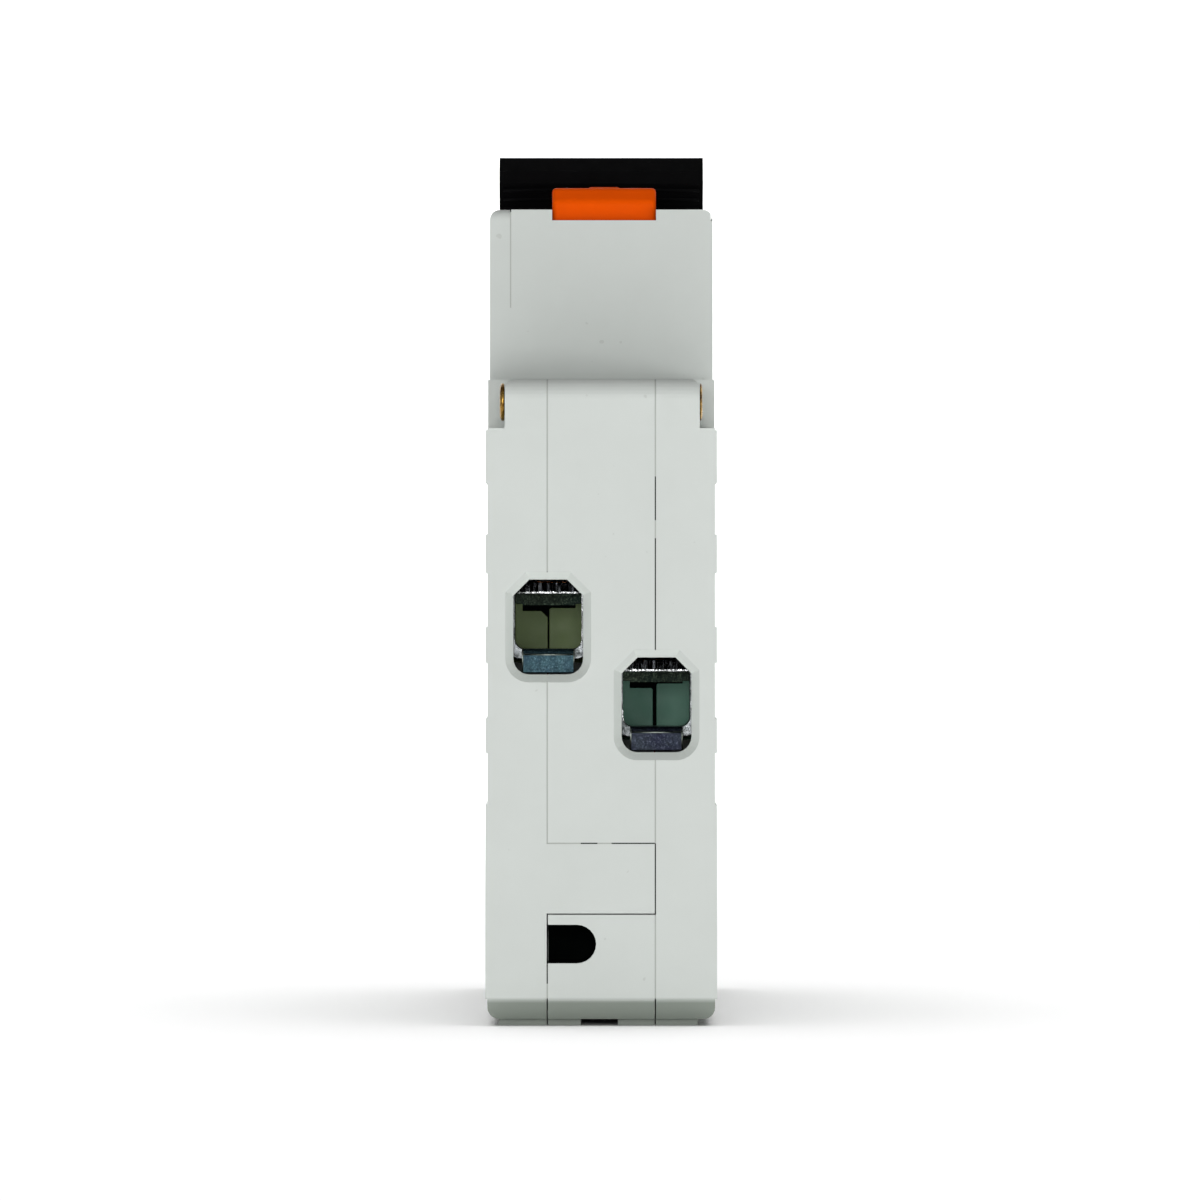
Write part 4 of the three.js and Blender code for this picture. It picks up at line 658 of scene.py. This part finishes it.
def bars():
    """Clamp bars: a fluted front edge with a bright sheared burr along its lower corner."""
    half = BAR_WIDTH / 2
    front = -CAGE_DEPTH / 2 - 0.8
    flutes = 23
    teeth = 60  # along the burr
    for name, x, end, z in TERMINALS:
        lo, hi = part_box(name + "_bar")
        inner = SCREW_Y - min(abs(lo[1]), abs(hi[1])) / MM
        outline = []
        for i in range(flutes * 2 + 1):
            px = -half + 2 * half * i / (flutes * 2)
            depth = (0.16 + 0.1 * rng.random()) if i % 2 else 0.0
            outline.append((px, front + depth))
        outline += [(half, inner), (-half, inner)]
        flat = [(-half, front + 0.2), (half, front + 0.2), (half, inner), (-half, inner)]
        fluted = prism_mesh(outline, (0.12, BAR_THICKNESS), "z")
        verts, faces = joined([fluted, prism_mesh(flat, (0.0, 0.2), "z")])
        new_piece(
            name + "_bar_look", place_terminal(verts, x, end, z), faces, BAR_METAL, "housing",
            (name + "_bar",), smooth=False,
        )
        verts, faces = [], []
        for i in range(teeth + 1):
            px = -half + 2 * half * i / teeth
            top = 0.09 + 0.09 * rng.random()
            low = 0.05 * rng.random()
            verts += [(px, front + 0.02, top), (px, front, low)]
            verts += [(px, front + 0.3, low), (px, front + 0.3, top)]
        for i in range(teeth):
            a, b = 4 * i, 4 * i + 4
            faces += [(a + k, a + (k + 1) % 4, b + (k + 1) % 4, b + k) for k in range(4)]
        faces += [(0, 1, 2, 3), tuple(4 * teeth + k for k in range(4))]
        new_piece(
            name + "_bar_burr", place_terminal(verts, x, end, z), faces, BURR_AND_HIGHLIGHT, "housing",
            smooth=False,
        )


def rounded_box_outline(half, low, high, low_radius, high_radius, steps=8):
    """An upright rectangle, (x, z), with its own radius for the corners below and above."""
    points = []
    corners = [(1, -1, low_radius), (1, 1, high_radius), (-1, 1, high_radius), (-1, -1, low_radius)]
    for k, (side, up, radius) in enumerate(corners):
        centre_x = side * (half - radius)
        centre_z = low + radius if up < 0 else high - radius
        for i in range(steps + 1):
            angle = -math.pi / 2 + (math.pi / 2) * (k + i / steps)
            points.append((centre_x + radius * math.cos(angle), centre_z + radius * math.sin(angle)))
    return points


def lip_path(front, floor):
    """The wire guide's outer and inner side, (y, z), from the cage's floor round and down."""
    bend = 0.62
    thick = 0.5
    short = bend - thick
    start_y = -CAGE_DEPTH / 2 + 0.3
    outside, inside = [], []
    for i in range(9):
        across = math.sin((math.pi / 2) * i / 8)
        down = math.cos((math.pi / 2) * i / 8)
        outside.append((front + bend - bend * across, -CAGE_OPENING - bend + bend * down))
        inside.append((front + bend - short * across, -CAGE_OPENING - bend + short * down))
    low = floor - 1.08
    path = [(start_y, -CAGE_OPENING - 0.01), *outside, (front, low)]
    back = [(front + thick, low), *reversed(inside), (start_y, -CAGE_OPENING - thick)]
    return path, back


def lip_edge_wear_and_highlight(path, half):
    """Worn metal on the lip's two edges, and a painted highlight along the crest of its bend."""
    skin, rim = 0.012, 0.1
    end_y, end_z = path[-1]
    profile = [(py - skin, pz) for py, pz in path[1:]] + [(end_y + 2 * rim, end_z)]
    wear_and_highlight_strips = []
    for side in (-1, 1):
        wear_and_highlight_strips.append(prism_mesh(profile, sorted((side * (half + 0.004), side * (half - rim))), "x"))
    # The crest strip is a painted highlight, where the bend faces the frontal light.
    crest = path[7:9]
    raised = [(py - skin, pz + 0.008) for py, pz in crest]
    raised += [(py + rim, pz - rim) for py, pz in reversed(crest)]
    wear_and_highlight_strips.append(prism_mesh(raised, (-half + rim, half - rim), "x"))
    return joined(wear_and_highlight_strips)


def cages():
    """Clamp cages folded from strip, round at their lower corners, with a wire guide lip."""
    floor = -CAGE_OPENING - 0.8
    roof = BAR_THICKNESS + 0.3
    top = roof + 1.5
    depth = CAGE_DEPTH / 2
    screw_hole = 1.95
    for name, x, end, z in TERMINALS:
        lo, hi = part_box(name + "_cage")
        half = (hi[0] - lo[0]) / 2 / MM
        outer = rounded_box_outline(half, floor, top, 1.1, 0.5)
        inner = rounded_box_outline(half - CAGE_WALL, -CAGE_OPENING, roof, 0.75, 0.15)
        count = len(outer)
        verts = [(px, py, pz) for py in (-depth, depth) for ring in (outer, inner) for px, pz in ring]
        faces = []
        for i in range(count):
            k = (i + 1) % count
            faces += [
                (i, k, count + k, count + i),
                (2 * count + i, 2 * count + k, 3 * count + k, 3 * count + i),
                (i, k, 2 * count + k, 2 * count + i),
                (count + i, count + k, 3 * count + k, 3 * count + i),
            ]
        piece = new_piece(
            name + "_cage_look", place_terminal(verts, x, end, z), faces, ZINC,
            name + "_cage", (name + "_cage",),
        )
        below, above = roof - 0.5, top + 0.5
        drill = [(below, 0), (below, screw_hole), (above, screw_hole), (above, 0)]
        verts, faces = lathe_mesh(drill, "z", (0, 0, 0))
        cut_by(piece, [(place_terminal(verts, x, end, z), faces)])
        soften(piece, 0.07)
        path, back = lip_path(-depth - 0.74, floor)
        verts, faces = prism_mesh(path + back, (-LIP_WIDTH / 2, LIP_WIDTH / 2), "x")
        lip = new_piece(
            name + "_cage_lip", place_terminal(verts, x, end, z), faces,
            LIP_BLUE if x < 0 else LIP_INDIGO, name + "_cage",
        )
        soften(lip, 0.08, 2, 50)
        verts, faces = lip_edge_wear_and_highlight(path, LIP_WIDTH / 2)
        new_piece(
            name + "_cage_lip_edge_wear_and_highlight", place_terminal(verts, x, end, z), faces, WORN_AND_HIGHLIGHT,
            name + "_cage",
        )


def screw_mesh(radius, head_radius, bottom, head_from, head_to, pitch=0.8):
    """A terminal screw: a threaded shank and a cheese head with rounded rim."""
    sides = 32
    thread = 0.32
    rows = int((head_from - bottom) / (pitch / 8))
    verts, faces = [], []
    for row in range(rows + 1):
        along = bottom + (head_from - bottom) * row / rows
        for k in range(sides):
            phase = (along / pitch - k / sides) % 1
            r = radius - thread * abs(2 * phase - 1) if row < rows else radius - 0.1
            if row < 3:
                r = min(r, radius - 0.35 + 0.1 * row)
            angle = 2 * math.pi * k / sides
            verts.append((r * math.cos(angle), r * math.sin(angle), along))
    for row in range(rows):
        for k in range(sides):
            a = row * sides + k
            b = row * sides + (k + 1) % sides
            faces.append((a, b, b + sides, a + sides))
    head = [
        (head_from, head_radius - 0.12), (head_from + 0.12, head_radius),
        (head_to - 0.45, head_radius), (head_to - 0.14, head_radius - 0.12),
        (head_to, head_radius - 0.42), (head_to, 0),
    ]
    base = len(verts)
    rim_rings = len(head) - 2
    for along, r in head[:-1]:
        for k in range(sides):
            angle = 2 * math.pi * k / sides
            verts.append((r * math.cos(angle), r * math.sin(angle), along))
    verts.append((0, 0, head_to))
    last = rows * sides
    for k in range(sides):
        n = (k + 1) % sides
        faces.append((last + k, last + n, base + n, base + k))
        for ring in range(rim_rings):
            a = base + ring * sides
            faces.append((a + k, a + n, a + sides + n, a + sides + k))
        crown = base + rim_rings * sides
        faces.append((crown + k, crown + n, len(verts) - 1))
    faces.append(tuple(range(sides)))
    return verts, faces


def screws():
    """Terminal screws with a combined slot and cross recess."""
    shank, head_height = 1.74, 2.4
    slot_half, slot_depth = 0.3, 0.7
    wing_half, cross_depth = 0.42, 1.15
    for name, x, end, z in TERMINALS:
        lo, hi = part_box(name + "_screw")
        head_radius = (hi[0] - lo[0]) / 2 / MM - 0.02
        bottom = lo[2] / MM - z
        top = hi[2] / MM - z
        verts, faces = screw_mesh(shank, head_radius, bottom, top - head_height, top)
        piece = new_piece(
            name + "_screw_look", place_terminal(verts, x, end, z), faces, STEEL,
            name + "_screw", (name + "_screw",),
        )
        slot_x = (-head_radius - 1, head_radius + 1)
        cutters = [box_mesh(slot_x, (-slot_half, slot_half), (top - slot_depth, top + 1))]
        reach = head_radius - 0.5
        deep, above = top - cross_depth, top + 0.2
        taper = [(-reach, above), (-reach * 0.35, deep), (reach * 0.35, deep), (reach, above)]
        verts, faces = prism_mesh(taper, (-wing_half, wing_half), "y")
        cutters.append((verts, faces))
        cutters.append(([(vy, vx, vz) for vx, vy, vz in verts], faces))
        cut_by(piece, [(place_terminal(v, x, end, z), f) for v, f in cutters])
        soften(piece, 0.06, 2, 40)


def cage_edges():
    """A bright line along the inside of one wall of each cage's mouth: a painted highlight."""
    inside = 3.255 - CAGE_WALL
    front = -CAGE_DEPTH / 2 - 0.01
    corner = 0.7
    corner_z = -CAGE_OPENING + corner
    for name, x, end, z in TERMINALS:
        # The painted highlight runs down one wall only.
        side = 1 if x < 0 else -1
        top = 0.6 if x < 0 else -3.0
        points = []
        for i in range(25):
            px = side * (inside + 0.02 + 0.02 * rng.random())
            points.append((px, front, top + (corner_z - top) * i / 24))
        for i in range(1, 5):
            angle = (math.pi / 6) * i / 4
            px = side * (inside - corner + corner * math.cos(angle))
            points.append((px, front, corner_z - corner * math.sin(angle)))
        verts, faces = tube_mesh(points, 0.05, 8)
        new_piece(
            name + "_cage_edge", place_terminal(verts, x, end, z), faces, BURR_AND_HIGHLIGHT,
            name + "_cage",
        )


def clip_slot_painted_shade():
    """The dark inside of the clip's screwdriver slot: a lining of painted shade."""
    left = -4.14
    centre_x, centre_z = -1.9, 0.075
    front, back = -END_Y + 0.5, -END_Y + 5.98
    outer, inner = 1.49, 1.43

    def outline(radius):
        points = [(left, centre_z + radius)]
        for i in range(13):
            angle = math.pi / 2 - math.pi * i / 12
            points.append((centre_x + radius * math.cos(angle), centre_z + radius * math.sin(angle)))
        points.append((left, centre_z - radius))
        return points

    wall = prism_mesh(outline(outer) + list(reversed(outline(inner))), (front, back), "y")
    verts, faces = joined([wall, prism_mesh(outline(outer), (back - 0.1, back), "y")])
    new_piece("clip_slot_painted_shade", verts, faces, SHADE, "clip", smooth=False)


def rivets():
    """Hollow brass rivets: a domed head on the left and a rolled one on the right."""
    for name in [n for n in nodes if n.startswith("rivet_")]:
        lo, hi = [[c / MM for c in corner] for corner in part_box(name)]
        head = (hi[2] - lo[2]) / 2
        shank = 0.99
        centre = (0, (lo[1] + hi[1]) / 2, (lo[2] + hi[2]) / 2)
        profile = [
            (lo[0] + 0.14, 0), (lo[0] + 0.12, head * 0.28), (lo[0], head * 0.42), (lo[0], head * 0.8),
            (lo[0] + 0.1, head * 0.96), (lo[0] + 0.22, head), (lo[0] + 0.34, head * 0.97),
            (lo[0] + 0.36, shank), (hi[0] - 0.18, shank), (hi[0] - 0.18, head * 0.97),
            (hi[0] - 0.1, head), (hi[0] - 0.02, head * 0.9), (hi[0], head * 0.75), (hi[0] - 0.06, head * 0.5),
            (hi[0] - 0.5, head * 0.4), (hi[0] - 0.6, 0),
        ]
        verts, faces = lathe_mesh(profile, "x", centre, 40)
        piece = new_piece(name + "_look", verts, faces, BRASS, "housing", (name,))
        soften(piece, 0.03, 1, 50)


def button():
    """The test button: a sloped cap with round corners, its tab, flange and guide peg."""
    lo, hi = [[c / MM for c in corner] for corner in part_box("test_button")]
    x = (lo[0] + 0.7, hi[0] - 0.9)
    middle = (x[0] + x[1]) / 2
    y0, y1 = lo[1], hi[1]
    tab = 0.2  # above the cap
    top = hi[2] - tab
    bottom = 50.5
    slope, back_slope = 1.1, 0.5
    flange_top = NOSE_Z - 1.6
    cap = [
        (y0, bottom), (y1, bottom), (y1, top - back_slope), (y1 - back_slope, top),
        (y0 + slope, top), (y0, top - slope),
    ]
    peg_top, peg_radius = 51, 0.8
    peg = [(lo[2], 0), (lo[2], peg_radius), (peg_top, peg_radius), (peg_top, 0)]
    meshes = [
        prism_mesh(cap, x, "x"),
        box_mesh((middle - 1.35, middle + 1.35), (y1 - 2.2, y1 - 0.8), (top - 0.6, top + tab)),
        box_mesh((lo[0], hi[0]), (y0 + 0.9, y1), (flange_top - 1, flange_top)),
        lathe_mesh(peg, "z", (middle, (y0 + y1) / 2, 0), 24),
    ]
    verts, faces = joined(meshes)
    piece = new_piece("test_button_look", verts, faces, ORANGE, "button", ("test_button",))
    soften(piece, 0.33, 4)


def toggle_grips():
    """Fine cross ribs on the two faces of the toggle's wide head."""
    half_width = 7.9
    pitch, half_rib, height, root = 0.82, 0.22, 0.13, 0.3
    ribs = []
    for side in (-1, 1):
        for i in range(3):
            along = 11.4 + i * pitch
            face = side * (2.2 - 0.5 * (along - 10.9) / 2.7)  # the head tapers towards its tip
            profile = []
            for k in range(7):
                angle = math.pi * k / 6
                out = face + side * height * math.sin(angle)
                profile.append((out, along + half_rib * math.cos(angle)))
            profile.append((face - side * root, along - half_rib))
            profile.append((face - side * root, along + half_rib))
            ribs.append(prism_mesh(profile, (-half_width, half_width), "x"))
    verts, faces = joined(ribs)
    turn = Matrix.Rotation(math.radians(TOGGLE_LEAN), 3, "X")
    verts = [turn @ Vector(v) + Vector((0, 0, TOGGLE_PIVOT_Z)) for v in verts]
    new_piece("toggle_grip_ribs", verts, faces, BLACK, "toggle")


# ---------------------------------------------------------------- inner parts


def springs_and_windings():
    """The toggle's torsion spring and the magnetic release's winding, as real coils."""
    lo, hi = [[c / MM for c in corner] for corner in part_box("toggle_spring")]
    start = (lo[0] + 0.3, 0, TOGGLE_PIVOT_Z)
    points = helix_points(start, "x", 1.9, hi[0] - lo[0] - 0.6, 4.5, dead=0.1)
    verts, faces = tube_mesh(points, 0.25)
    new_piece("toggle_spring_look", verts, faces, STEEL, "housing", ("toggle_spring",))
    lo, hi = [[c / MM for c in corner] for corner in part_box("trip_coil")]
    wire = 0.48
    radius = (hi[0] - lo[0]) / 2 - wire
    centre = ((lo[0] + hi[0]) / 2, lo[1] + wire, (lo[2] + hi[2]) / 2)
    length = hi[1] - lo[1] - 2 * wire
    points = helix_points(centre, "y", radius, length, 10, 28)
    verts, faces = tube_mesh(points, wire, 12)
    new_piece("trip_coil_look", verts, faces, COPPER, "housing", ("trip_coil",))


# ---------------------------------------------------------------- stage, light and camera


def make_stage():
    """A pale floor that curves up into a backdrop far behind."""
    size = 3.0
    radius = 0.8
    back = 1.6
    floor_z = CAD_BOX[0][2]
    profile = [(-size, floor_z), (back, floor_z)]
    steps = 16
    for i in range(1, steps + 1):
        angle = math.pi / 2 * i / steps
        profile.append((back + radius * math.sin(angle), floor_z + radius * (1 - math.cos(angle))))
    profile.append((back + radius, floor_z + size))
    mesh = bpy.data.meshes.new("floor")
    verts = [(x, y, z) for y, z in profile for x in (-size, size)]
    faces = [(2 * i, 2 * i + 1, 2 * i + 3, 2 * i + 2) for i in range(len(profile) - 1)]
    mesh.from_pydata(verts, [], faces)
    floor = bpy.data.objects.new("floor", mesh)
    bpy.context.collection.objects.link(floor)
    paper = Material("paper", srgb(246, 246, 246), 0.9)
    mesh.materials.append(paper.material)
    for face in mesh.polygons:
        face.use_smooth = True


def area_light(name, place, target, size, watts):
    data = bpy.data.lights.new(name, "AREA")
    data.shape = "RECTANGLE"
    data.size, data.size_y = size
    data.energy = watts
    light = bpy.data.objects.new(name, data)
    bpy.context.collection.objects.link(light)
    light.location = place
    aim = Vector(target) - Vector(place)
    light.rotation_euler = aim.to_track_quat("-Z", "Y").to_euler()
    return light


def make_lights():
    """A frontal softbox, a low one close by on the right, a weak top light, and two lights
    that fall on the stage alone."""
    middle = (0, 0, 0.026)
    area_light("key", (-0.15, -1.15, 0.16), middle, (0.6, 0.35), 4.25)
    area_light("low", (0.14, -0.33, 0.014), (0, -0.03, 0.03), (0.09, 0.036), 0.15)
    area_light("top", (0.0, 0.15, 1.1), middle, (1.2, 0.9), 1.0)
    stage_only = bpy.data.collections.new("stage_only")
    stage_only.objects.link(bpy.data.objects["floor"])
    for light in (
        area_light("overhead", (0.0, 0.0, 1.2), (0, 0, 0), (1.6, 1.6), 16.5),
        area_light("backdrop", (0.0, 0.9, 1.1), (0.0, 2.4, 0.2), (2.4, 0.6), 44.0),
    ):
        light.light_linking.receiver_collection = stage_only
    world = bpy.data.worlds.new("studio")
    world.use_nodes = True
    world.node_tree.nodes["Background"].inputs["Color"].default_value = (1, 1, 1, 1)
    world.node_tree.nodes["Background"].inputs["Strength"].default_value = 0.18
    bpy.context.scene.world = world


def make_camera():
    """Level with the middle of the end face, 850 mm in front of it."""
    distance = 0.850
    height = 0.0268
    field = 0.0932  # width of the view at the end face
    data = bpy.data.cameras.new("camera")
    data.sensor_width = 36
    data.lens = data.sensor_width * distance / field
    data.clip_start = 0.01
    camera = bpy.data.objects.new("camera", data)
    bpy.context.collection.objects.link(camera)
    end_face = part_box("left_cover")[0][1]
    camera.location = (-0.0001, end_face - distance, height)
    camera.rotation_euler = (math.pi / 2, 0, 0)
    bpy.context.scene.camera = camera


make_camera()
make_stage()
make_lights()
seam_fillers()
entry_rims()
partitions()
bars()
cages()
screws()
rivets()
cage_edges()
clip_slot_painted_shade()
button()
toggle_grips()
springs_and_windings()
bpy.context.scene.view_settings.view_transform = "Standard"
